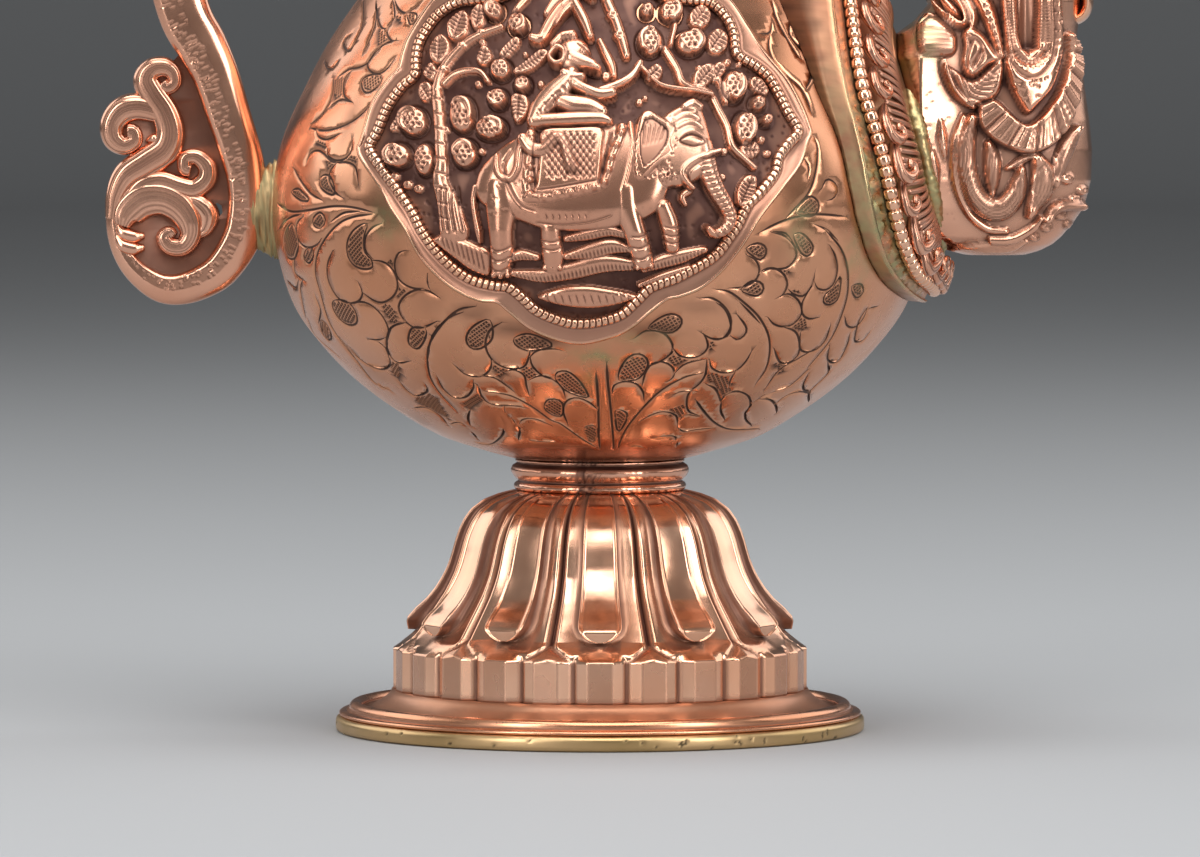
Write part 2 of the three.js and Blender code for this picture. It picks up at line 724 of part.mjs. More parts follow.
const barShares = [
  [1.108, -0.995, 0.72], [1, -0.995, 0.76], [0.82, -1.038, 0.8], [0.604, -1.065, 0.86],
  [0.396, -1.056, 0.92], [0.234, -0.993, 0.96], [0.132, -0.9, 1], [0.0955, -0.768, 1],
  [0.117, -0.614, 1], [0.159, -0.452, 1], [0.207, -0.29, 1], [0.256, -0.128, 1], [0.298, 0, 1],
  [0.341, 0.156, 1], [0.392, 0.313, 0.98], [0.453, 0.469, 0.92], [0.48, 0.625, 0.86],
  [0.469, 0.742, 0.8], [0.414, 0.832, 0.72], [0.32, 0.891, 0.62], [0.234, 0.902, 0.55],
  [0.152, 0.852, 0.48], [0.09, 0.77, 0.4], [0.065, 0.664, 0.32], [0.09, 0.562, 0.28], [0.129, 0.515, 0.3],
];
const voluteShares = [
  [[0.129, 0.515, 0.3], [0.211, 0.484, 0.36], [0.25, 0.43, 0.4], [0.246, 0.367, 0.38],
    [0.203, 0.312, 0.34], [0.168, 0.258, 0.3], [0.176, 0.211, 0.27], [0.227, 0.191, 0.25],
    [0.262, 0.223, 0.23], [0.254, 0.266, 0.2], [0.227, 0.258, 0.18]],
  [[0.246, 0.4, 0.34], [0.188, 0.352, 0.34], [0.125, 0.324, 0.32], [0.074, 0.344, 0.3],
    [0.06, 0.391, 0.27], [0.07, 0.438, 0.25], [0.105, 0.461, 0.23], [0.141, 0.445, 0.2],
    [0.13, 0.414, 0.18]],
  [[0.078, 0.703, 0.26], [0.102, 0.625, 0.44], [0.156, 0.59, 0.6], [0.234, 0.586, 0.64],
    [0.305, 0.613, 0.58], [0.344, 0.664, 0.48], [0.344, 0.727, 0.4], [0.312, 0.773, 0.32],
    [0.266, 0.781, 0.27], [0.227, 0.758, 0.24], [0.223, 0.723, 0.2], [0.254, 0.715, 0.18]],
  [[0.258, 0.602, 0.36], [0.328, 0.59, 0.32], [0.367, 0.547, 0.27], [0.355, 0.5, 0.24],
    [0.316, 0.484, 0.21], [0.295, 0.512, 0.19]],
];
const webShares = [
  [0.165, 0.2], [0.285, 0.18], [0.37, 0.31], [0.43, 0.47], [0.46, 0.64], [0.43, 0.78], [0.31, 0.87],
  [0.2, 0.86], [0.11, 0.76], [0.085, 0.64], [0.13, 0.52], [0.075, 0.42], [0.15, 0.33],
];

const patternRightShare = 0.552;
const lugDownShare = 0.66;

function handlePlace([right, down]) {
  return new THREE.Vector3(
    (right - patternRightShare) * handlePatternHeight - bellyRadius - handleBellyClearance,
    0,
    handlePatternTop - down * handlePatternHeight,
  );
}

// The bar's upper end, where its lug reaches out to it from the neck.
const barEnd = new THREE.Vector3(-neckTopRadius - handleNeckClearance, 0, mouthBase - handleTopDrop);

// A place on the bar: above the pattern it is drawn along with the bar's upper end.
function barPlace([right, down]) {
  const pull = barEnd.clone().sub(handlePlace(barShares[0]));
  return handlePlace([right, down]).addScaledVector(pull, Math.max(down / barShares[0][1], 0));
}

function handleBar(offset) {
  const halfWidths = barShares.map(([, , width]) => (width * handleWidth) / 2 + offset);
  return rod(barShares.map(barPlace), halfWidths, alongY, 8, { depthShare: handleDepthShare });
}

function handle() {
  const volutes = voluteShares.map((places) => {
    const halfWidths = places.map(([, , width]) => (width * handleWidth) / 2);
    return rod(places.map(handlePlace), halfWidths, alongY, wireSides);
  });
  const outline = webShares.map(handlePlace).map((place) => new THREE.Vector2(place.x, place.z));
  const depth = scrollWebThickness;
  const web = new THREE.ExtrudeGeometry(new THREE.Shape(outline), { depth, bevelEnabled: false });
  web.rotateX(Math.PI / 2).translate(0, depth / 2, 0);
  return geometryFrom(joined([handleBar(0), web, ...volutes]));
}

function handleLug() {
  const block = new THREE.SphereGeometry(1, 8, 6).scale(
    handleLugWidth,
    handleLugWidth / 2,
    handleLugHeight / 2,
  );
  block.translate(-bellyRadius, 0, handlePlace([0, lugDownShare]).z);
  const cut = solidFrom(block).subtract(bellyBody(gap)).subtract(solidFrom(handleBar(gap)));
  return geometryFrom(cut.decompose().reduce((a, b) => (a.volume() > b.volume() ? a : b)));
}

function handleTopLug() {
  const radius = handleTopLugRadius;
  const barrel = barrelAlongX(radius, radius, barEnd.x, 0, barEnd.z, 8);
  return geometryFrom(barrel.subtract(solidFrom(neckOutside(gap))));
}

// Neck and mouth: the neck goes from its foot in to the waist, out over a raised band and out
// again to the mouth.

const neckHeightShares = [0, 0.12, 0.38, 0.5, 0.66, 0.7, 0.84, 0.88, 1];
const neckOutline = [
  neckFootRadius,
  neckFootRadius - sheet,
  neckWaistRadius,
  neckWaistRadius,
  neckTopRadius - 2 * sheet,
  neckBandRadius,
  neckBandRadius,
  neckTopRadius - sheet,
  neckTopRadius,
].map((radius, i) => [radius, neckBase + neckHeightShares[i] * neckHeight]);

function neckOutside(offset) {
  return turned(
    [[0, neckBase], ...neckOutline.map(([radius, height]) => [radius + offset, height]), [0, mouthBase]],
    middleSides,
  );
}

function neck() {
  const inside = [8, 4, 3, 2, 0].map((i) => [neckOutline[i][0] - sheet, neckOutline[i][1]]);
  return turned([...neckOutline, ...inside], middleSides);
}

function neckCollar() {
  const outside = bulge(neckCollarEdgeRadius, neckCollarRadius, bellyTop, neckBase);
  const hole = bellyMouthRadius - sheet;
  return turned([...outside, [hole, neckBase], [hole, bellyTop]], middleSides);
}

function mouthPlate() {
  const hole = neckTopRadius - sheet;
  const rim = mouthRadius - mouthRimRadius;
  return turned([
    [hole, mouthBase],
    [rim - mouthRimRadius, mouthBase],
    [rim, mouthBase - mouthRimRadius],
    [mouthRadius, mouthBase],
    [mouthRadius, mouthTop - mouthRimRadius / 2],
    [rim, mouthTop],
    [hole, mouthTop],
  ]);
}

// Lid

function lidPlate() {
  return turned([
    [0, mouthTop],
    [lidRadius - lidEdgeInset, mouthTop],
    [lidRadius, mouthTop + lidThickness / 2],
    [lidRadius - lidEdgeInset, domeBase],
    [0, domeBase],
  ]);
}

function lidPlug() {
  const radius = neckHoleRadius - lidPlugClearance;
  return turned(
    [
      [radius - sheet, mouthTop - lidPlugDepth],
      [radius, mouthTop - lidPlugDepth],
      [radius, mouthTop],
      [radius - sheet, mouthTop],
    ],
    middleSides,
  );
}

const domeOutlineShares = [[1, 0], [0.98, 0.2], [0.86, 0.5], [0.62, 0.76], [0.36, 0.92], [0.25, 1]];

function lidDome() {
  const spread = lidDomeRadius - lidDomeTopRadius;
  const outline = domeOutlineShares.map(([radiusShare, heightShare]) => [
    lidDomeTopRadius + radiusShare * spread,
    domeBase + heightShare * lidDomeHeight,
  ]);
  const inside = [0, 2, 4].map((i) => [outline[i][0] - sheet, outline[i][1] - sheet]);
  inside[0][1] = domeBase;
  return turned([...outline, [0, lotusBase], [0, lotusBase - sheet], ...inside.reverse()], middleSides);
}

const lotusOutlineShares = [[0.55, 0], [0.95, 0.3], [1, 0.55], [0.8, 0.8], [0.55, 1]];
const jewelOutlineShares = [[0.62, 0], [0.95, 0.16], [1, 0.3], [0.84, 0.48], [0.5, 0.68], [0.2, 0.88]];

function finial(outlineShares, radius, base, height) {
  const outline = outlineShares.map(([radiusShare, heightShare]) => [
    radiusShare * radius,
    base + heightShare * height,
  ]);
  return turned([[0, base], ...outline, [0, base + height]], smallSides);
}

const single = [
  ["foot_ring", footRing(), brass],
  ["foot_flange", footFlange(), copper],
  ["pedestal", pedestal(), paleCopper],
  ["stem_collar", stemCollar(), redCopper],
  ["belly", belly(), copper],
  ["belly_shoulder", bellyShoulder(), copper],
  ["spout_plate", spoutPlate(), copper],
  ["spout_rope", spoutRope(), paleCopper],
  ["spout_scrolls", spoutScrolls(), redCopper],
  ["spout_root_ring", spoutRootRing(), brass],
  ["makara_head", makaraHead(), copper],
  ["spout_tube", spoutTube(), paleCopper],
  ["spout_lip", spoutLip(), redCopper],
  ["handle", handle(), redCopper],
  ["handle_lug", handleLug(), brass],
  ["handle_top_lug", handleTopLug(), brass],
  ["neck_collar", neckCollar(), redCopper],
  ["neck", neck(), copper],
  ["mouth_plate", mouthPlate(), paleCopper],
  ["lid_plate", lidPlate(), copper],
  ["lid_plug", lidPlug(), redCopper],
  ["lid_dome", lidDome(), paleCopper],
  ["finial_lotus", finial(lotusOutlineShares, lotusRadius, lotusBase, lotusHeight), redCopper],
  ["finial_jewel", finial(jewelOutlineShares, jewelRadius, jewelBase, jewelHeight), paleCopper],
];
const medallion = [
  ["medallion_band", medallionBand(), redCopper],
  ["medallion_rope", medallionRope(), paleCopper],
  ["relief_panel", reliefPanel(), copper],
];

const ewer = new THREE.Group();

function addMesh(name, geometry, material, turn = 0) {
  const mesh = new THREE.Mesh(geometry, material);
  mesh.name = name;
  mesh.rotation.z = turn;
  ewer.add(mesh);
}

for (const [name, geometry, material] of single) {
  addMesh(name, geometry, material);
}
for (const [side, turn] of [["front", 0], ["back", Math.PI]]) {
  for (const [name, geometry, material] of medallion) {
    addMesh(`${side}_${name}`, geometry, material, turn);
  }
}

export default ewer;
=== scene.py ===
"""Looks for the ritual ewer: chased copper belly, relief medallions, makara spout, fluted foot.

Points are in millimetres in the CAD's frame and become metres when a mesh is made. A pixel is a
place in the photograph, whose camera is the one at the end of the stage section.
"""

import json
import math
import random

import bpy
import numpy as np
from mathutils import Euler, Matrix, Vector, geometry, kdtree


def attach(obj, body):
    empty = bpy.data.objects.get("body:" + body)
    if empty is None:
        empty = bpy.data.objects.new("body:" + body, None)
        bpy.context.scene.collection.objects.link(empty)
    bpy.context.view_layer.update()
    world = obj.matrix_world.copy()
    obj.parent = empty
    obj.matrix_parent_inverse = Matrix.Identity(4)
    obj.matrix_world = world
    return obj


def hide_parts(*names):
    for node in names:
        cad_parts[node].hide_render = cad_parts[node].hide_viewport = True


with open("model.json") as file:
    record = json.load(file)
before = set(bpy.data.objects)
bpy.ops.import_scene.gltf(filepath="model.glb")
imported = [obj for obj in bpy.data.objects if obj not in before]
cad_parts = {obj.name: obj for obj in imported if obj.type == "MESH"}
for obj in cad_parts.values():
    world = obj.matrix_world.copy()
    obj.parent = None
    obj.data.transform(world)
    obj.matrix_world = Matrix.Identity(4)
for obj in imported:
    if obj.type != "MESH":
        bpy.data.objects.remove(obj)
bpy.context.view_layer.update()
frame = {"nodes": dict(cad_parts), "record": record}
METRE = 0.001
TAU = 2 * math.pi

# Camera of the photograph, in millimetres and pixels
IMAGE_WIDTH = 1200
CAMERA_DISTANCE = 1500
CAMERA_HEIGHT = 131
AIM_HEIGHT = 52.45
FOCAL_PIXELS = 8640
SENSOR_WIDTH = 36
PIXEL_DROP = 24


# Curves

def spline(points, step, closed=False):
    """A smooth curve through points of any dimension, in samples about a step apart."""
    points = np.asarray(points, float)
    count = len(points)
    links = count if closed else count - 1
    if count < 3:
        closed = False
    samples = []
    for i in range(links):
        before = points[i - 1] if closed or i > 0 else 2 * points[0] - points[1]
        a = points[i]
        b = points[(i + 1) % count]
        after = points[(i + 2) % count] if closed or i + 2 < count else 2 * b - a
        parts = max(int(math.ceil(np.linalg.norm(b - a) / step)), 1)
        t = np.arange(parts)[:, None] / parts
        samples.append(
            0.5
            * (
                2 * a
                + (b - before) * t
                + (2 * before - 5 * a + 4 * b - after) * t**2
                + (3 * a - before - 3 * b + after) * t**3
            )
        )
    line = np.concatenate(samples)
    return line if closed else np.vstack([line, points[-1]])


def even(line, count, closed=False):
    """The same curve in count samples that are the same length apart."""
    loop = np.vstack([line, line[:1]]) if closed else line
    run = np.concatenate([[0], np.cumsum(np.linalg.norm(np.diff(loop, axis=0), axis=1))])
    at = np.linspace(0, run[-1], count, endpoint=not closed)
    return np.stack([np.interp(at, run, loop[:, k]) for k in range(loop.shape[1])], 1)


def unit(vectors):
    return vectors / np.maximum(np.linalg.norm(vectors, axis=-1, keepdims=True), 1e-9)


# Meshes

def make_mesh(name, points, faces, slot, body="vase", nodes=(), tarnish=None, stain=None):
    """A piece from points and lists of triangles or quads. Tarnish and painted shade are 0 to 1 for each
    point.
    """
    mesh = bpy.data.meshes.new(name)
    points = np.asarray(points, float)
    mesh.vertices.add(len(points))
    mesh.vertices.foreach_set("co", (points * METRE).ravel())
    sizes = np.concatenate([np.full(len(part), len(part[0])) for part in faces if len(part)])
    corners = np.concatenate([np.asarray(part).ravel() for part in faces if len(part)])
    mesh.loops.add(len(corners))
    mesh.loops.foreach_set("vertex_index", corners.astype(np.int32))
    mesh.polygons.add(len(sizes))
    mesh.polygons.foreach_set("loop_start", np.concatenate([[0], np.cumsum(sizes)[:-1]]).astype(np.int32))
    mesh.polygons.foreach_set("use_smooth", np.ones(len(sizes), bool))
    for label, values in (("tarnish", tarnish), ("stain", stain)):
        layer = mesh.attributes.new(label, "FLOAT", "POINT")
        if values is not None:
            layer.data.foreach_set("value", np.asarray(values, np.float32).ravel())
    mesh.update(calc_edges=True)
    mesh.materials.append(MATERIALS[slot])
    piece = bpy.data.objects.new(name, mesh)
    bpy.context.scene.collection.objects.link(piece)
    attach(piece, body)
    if nodes:
        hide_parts(*nodes)
    return piece


def grid_faces(rows, columns, close_rows=False):
    """Quads of a grid of points, whose rows are closed rings that follow each other in the list."""
    i = np.arange(rows if close_rows else rows - 1)[:, None]
    j = np.arange(columns)[None, :]
    i2 = (i + 1) % rows
    j2 = (j + 1) % columns
    quads = np.stack([i * columns + j, i * columns + j2, i2 * columns + j2, i2 * columns + j], -1)
    return quads.reshape(-1, 4)


def lathe(profile, sides):
    """Points of a profile of [radius, height] turned round the axis, and their angles."""
    profile = np.asarray(profile, float)
    angle = np.arange(sides) * TAU / sides
    points = np.stack(
        [
            profile[:, None, 0] * np.cos(angle),
            profile[:, None, 0] * np.sin(angle),
            np.repeat(profile[:, None, 1], sides, 1),
        ],
        -1,
    )
    return points, angle


def turned_piece(name, points, slot, **more):
    """A piece from rows of rings, of which the last is joined to the first."""
    rows, sides = points.shape[:2]
    return make_mesh(name, points.reshape(-1, 3), [grid_faces(rows, sides, close_rows=True)], slot, **more)


def sweep(line, across, out, section):
    """Section points, as (across, out) pairs for each sample, along a line: (samples, points, 3)."""
    section = np.asarray(section, float)
    if section.ndim == 2:
        section = np.repeat(section[None], len(line), 0)
    return (
        line[:, None]
        + section[..., 0:1] * across[:, None]
        + section[..., 1:2] * out[:, None]
    )


def tangents(line, closed=False):
    if closed:
        return unit(np.roll(line, -1, 0) - np.roll(line, 1, 0))
    return unit(np.gradient(line, axis=0))


def circle(sides):
    """Points at even angles on a circle of radius 1."""
    turn = np.arange(sides) * TAU / sides
    return np.stack([np.cos(turn), np.sin(turn)], -1)


def outward(angle):
    """Level directions away from the axis."""
    return np.stack([np.cos(angle), np.sin(angle), 0 * angle], -1)


def wire(line, out, radius):
    """Rings round a closed line that lies on a surface. Radius is one for each point of each ring."""
    along = tangents(line, True)
    across = unit(np.cross(along, out))
    return sweep(line, across, np.cross(across, along), radius[..., None] * circle(radius.shape[1]))


class Parts:
    """Gathers grids of points into one mesh."""

    def __init__(self):
        self.points, self.quads, self.corners, self.dark = [], [], [], []
        self.count = 0

    def grid(self, points, dark):
        """A tube of rows of points, closed round and capped at both ends."""
        rows, sides = points.shape[:2]
        ends = np.stack([points[0].mean(0), points[-1].mean(0)])
        self.points += [points.reshape(-1, 3), ends]
        self.dark += [np.broadcast_to(dark, (rows, sides)).ravel(), [0.3, 0.3]]
        self.quads.append(grid_faces(rows, sides) + self.count)
        j = np.arange(sides)
        k = (j + 1) % sides
        base = self.count + rows * sides
        last = self.count + (rows - 1) * sides
        self.corners.append(np.stack([np.full(sides, base), self.count + k, self.count + j], -1))
        self.corners.append(np.stack([np.full(sides, base + 1), last + j, last + k], -1))
        self.count = base + 2

    def slab(self, ring, hole, half_depth, dark):
        """A flat plate within a ring of pixels, with a hole, in the handle's middle plane."""
        outer, inner = (flat_place(np.array(r, float), 0.0) for r in (ring, hole))
        loops = [[Vector(p) for p in outer], [Vector(p) for p in inner]]
        triangles = np.array(geometry.tessellate_polygon(loops))
        flat = np.vstack([outer, inner])
        total = len(flat)
        self.points += [flat - [0, half_depth, 0], flat + [0, half_depth, 0]]
        self.dark.append(np.full(2 * total, dark))
        front = triangles + self.count
        self.corners += [front, front[:, ::-1] + total]
        for start, size in ((0, len(outer)), (len(outer), len(inner))):
            i = start + np.arange(size)
            j = start + (np.arange(size) + 1) % size
            self.quads.append(self.count + np.stack([i, j, j + total, i + total], -1))
        self.count += 2 * total

    def piece(self, name, slot, **more):
        faces = [np.vstack(self.quads), np.vstack(self.corners)]
        return make_mesh(name, np.vstack(self.points), faces, slot, tarnish=np.concatenate(self.dark), **more)


def tube_piece(name, line, radius, slot, sides, squash):
    """A rod with rounded ends along a line, squash times as deep as it is wide. Radius is one a sample."""
    along = tangents(line)
    out = np.repeat([[0.0, 1.0, 0.0]], len(line), 0)
    across = unit(np.cross(along, out))
    ring = radius[:, None, None] * circle(sides) * [1, squash]
    points = sweep(line, across, np.cross(across, along), ring)
    last = (len(line) - 1) * sides
    j = np.arange(sides)
    tips = [line[0] - along[0] * radius[0] * 0.5, line[-1] + along[-1] * radius[-1] * 0.5]
    flat_points = np.vstack([points.reshape(-1, 3), tips])
    base = len(flat_points) - 2
    start = np.stack([np.full(sides, base), (j + 1) % sides, j], -1)
    end = np.stack([np.full(sides, base + 1), last + j, last + (j + 1) % sides], -1)
    return make_mesh(name, flat_points, [grid_faces(len(line), sides), start, end], slot)


# Materials

GREEN_STAIN = (0.4, 0.38, 0.19)
GRAIN_SCALE = 500.0
GRAIN_STRENGTH = 0.03
GRAIN_DEPTH = 0.0004


def socket(node, name, value):
    node.inputs[name].default_value = value


def metal(name, bright, worn, deep, roughness):
    """Copper or brass: mottled between two colours, dark where it is tarnished and in painted shade, green
    where stained.
    """
    material = bpy.data.materials.new(name)
    material.use_nodes = True
    nodes = material.node_tree.nodes
    link = material.node_tree.links.new
    shader = nodes["Principled BSDF"]
    place = nodes.new("ShaderNodeTexCoord")

    def noise(scale, detail):
        texture = nodes.new("ShaderNodeTexNoise")
        socket(texture, "Scale", scale)
        socket(texture, "Detail", detail)
        link(place.outputs["Object"], texture.inputs["Vector"])
        return texture.outputs["Fac"]

    def spread(value, low, high, to_low=0.0, to_high=1.0):
        node = nodes.new("ShaderNodeMapRange")
        socket(node, "From Min", low)
        socket(node, "From Max", high)
        socket(node, "To Min", to_low)
        socket(node, "To Max", to_high)
        link(value, node.inputs["Value"])
        return node.outputs["Result"]

    def mix(factor, a, b):
        node = nodes.new("ShaderNodeMix")
        node.data_type = "RGBA"
        link(factor, node.inputs["Factor"])
        for key, colour in (("A", a), ("B", b)):
            target = [s for s in node.inputs if s.name == key and s.type == "RGBA"][0]
            if isinstance(colour, tuple):
                target.default_value = (*colour, 1)
            else:
                link(colour, target)
        return [s for s in node.outputs if s.type == "RGBA"][0]

    def attribute(label):
        node = nodes.new("ShaderNodeAttribute")
        node.attribute_name = label
        return node.outputs["Fac"]

    def math_node(operation, a, b):
        node = nodes.new("ShaderNodeMath")
        node.operation = operation
        for i, value in enumerate((a, b)):
            if isinstance(value, float):
                node.inputs[i].default_value = value
            else:
                link(value, node.inputs[i])
        return node.outputs[0]

    blotch = spread(noise(45, 4), 0.38, 0.64)
    mottle = mix(blotch, bright, worn)
    patch = spread(noise(130, 4), 0.45, 0.8, 0, 0.5)
    # This layer holds real tarnish and also painted shade in recesses, grooves and under parts
    tarnish = math_node("MULTIPLY", attribute("tarnish"), spread(noise(220, 2), 0.2, 0.7, 0.9, 1.0))
    soft = mix(patch, mottle, tuple(0.86 * c for c in bright))
    dark = mix(tarnish, soft, deep)
    green = math_node("MULTIPLY", attribute("stain"), spread(noise(300, 4), 0.3, 0.6))
    colour = mix(green, dark, GREEN_STAIN)
    link(colour, shader.inputs["Base Color"])
    gloss = spread(noise(110, 4), 0.3, 0.75, roughness - 0.06, roughness + 0.09)
    rough = math_node("ADD", gloss, math_node("MULTIPLY", attribute("tarnish"), 0.3))
    link(rough, shader.inputs["Roughness"])
    metalness = spread(attribute("tarnish"), 0.0, 1.0, 1.0, 0.55)
    link(metalness, shader.inputs["Metallic"])
    bumps = nodes.new("ShaderNodeBump")
    socket(bumps, "Strength", GRAIN_STRENGTH)
    socket(bumps, "Distance", GRAIN_DEPTH)
    link(noise(GRAIN_SCALE, 3), bumps.inputs["Height"])
    link(bumps.outputs["Normal"], shader.inputs["Normal"])
    return material


# Each slot's bright, worn and tarnished colours, the last also for painted shade, and its roughness
METALS = {
    "raised_copper": ((0.77, 0.375, 0.22), (0.67, 0.3, 0.165), (0.035, 0.014, 0.009), 0.25),
    "cast_copper": ((0.87, 0.47, 0.32), (0.76, 0.37, 0.24), (0.05, 0.014, 0.009), 0.18),
    "polished_copper": ((0.95, 0.56, 0.38), (0.86, 0.45, 0.28), (0.09, 0.026, 0.016), 0.16),
    "patinated_copper": ((0.46, 0.21, 0.13), (0.36, 0.15, 0.1), (0.06, 0.02, 0.013), 0.32),
    "brass_metal": ((0.64, 0.43, 0.22), (0.5, 0.34, 0.15), (0.06, 0.04, 0.015), 0.34),
}
MATERIALS = {slot: metal(slot, *looks) for slot, looks in METALS.items()}

slots = {part["node"]: part["material_slot"] for part in frame["record"]["subparts"]}
for node, piece in frame["nodes"].items():
    piece.data.materials.clear()
    piece.data.materials.append(MATERIALS[slots[node]])


# Belly: a raised bowl with chased leaves

BELLY_RADIUS = 56.8
BELLY_BASE = 47.5
BELLY_HEIGHT = 102.5
BELLY_SEAT = 15.3
BELLY_MOUTH = 17
BELLY_WALL = 1.4
BELLY_SHARES = [
    (0.354, 0.013), (0.493, 0.039), (0.627, 0.083), (0.745, 0.132), (0.84, 0.185), (0.926, 0.249),
    (0.972, 0.317), (1, 0.4), (0.992, 0.483), (0.962, 0.551), (0.902, 0.624), (0.833, 0.698),
    (0.738, 0.776), (0.629, 0.854), (0.502, 0.922), (0.38, 0.971),
]
LINE_HALF = 0.15
LINE_EDGE = 0.28
LINE_DEPTH = 0.2
LINE_STEP = 0.75
HATCH_PITCH = 0.62
HATCH_LEAN = 0.6
PIT_HALF = 0.15
GRID_PITCH = 1.25
MEAN_RADIUS = 50
FLAT_RADIUS = 48
INSIDE_ROWS = 50

outline = [(BELLY_SEAT, BELLY_BASE)]
outline += [(r * BELLY_RADIUS, BELLY_BASE + h * BELLY_HEIGHT) for r, h in BELLY_SHARES]
outline += [(BELLY_MOUTH, BELLY_BASE + BELLY_HEIGHT)]
belly_line = spline(outline, 0.5)
belly_line[:, 0] = np.minimum(belly_line[:, 0], BELLY_RADIUS)
belly_run = np.concatenate([[0], np.cumsum(np.linalg.norm(np.diff(belly_line, axis=0), axis=1))])
belly_out = unit(np.gradient(belly_line, axis=0))[:, ::-1] * [1, -1]


def belly_radius(z):
    return np.interp(z, belly_line[:, 1], belly_line[:, 0])


def belly_point(turn, run, lift):
    """A point of the bowl: turn is the angle from the front towards the spout, run the way up it."""
    radius = np.interp(run, belly_run, belly_line[:, 0]) + lift * np.interp(run, belly_run, belly_out[:, 0])
    height = np.interp(run, belly_run, belly_line[:, 1]) + lift * np.interp(run, belly_run, belly_out[:, 1])
    return np.stack([radius * np.sin(turn), -radius * np.cos(turn), height], -1)


def from_pixels(pixels, radius_at=belly_radius):
    """The place on the front of a turned shape that a pixel of the photograph shows: x, y, z."""
    pixels = np.asarray(pixels, float)
    y = np.full(len(pixels), -50.0)
    for _ in range(8):
        away = (CAMERA_DISTANCE + y) / FOCAL_PIXELS
        x = (pixels[:, 0] - IMAGE_WIDTH / 2) * away
        z = CAMERA_HEIGHT - (pixels[:, 1] + PIXEL_DROP) * away
        y = -np.sqrt(np.maximum(radius_at(z) ** 2 - x**2, 0))
    return np.stack([x, y, z], -1)


def on_belly(pixels):
    """Turn and run of the place on the belly that a pixel shows."""
    place = from_pixels(pixels)
    run = np.interp(place[:, 2], belly_line[:, 1], belly_run)
    return np.stack([np.arctan2(place[:, 0], -place[:, 1]), run], -1)


def traces(text):
    """Lines of a drawing: a letter for the kind, then pixels as x,y."""
    drawing = []
    for line in text.strip().splitlines():
        kind, *pairs = line.split()
        drawing.append((kind, np.array([[float(v) for v in pair.split(",")] for pair in pairs])))
    return drawing


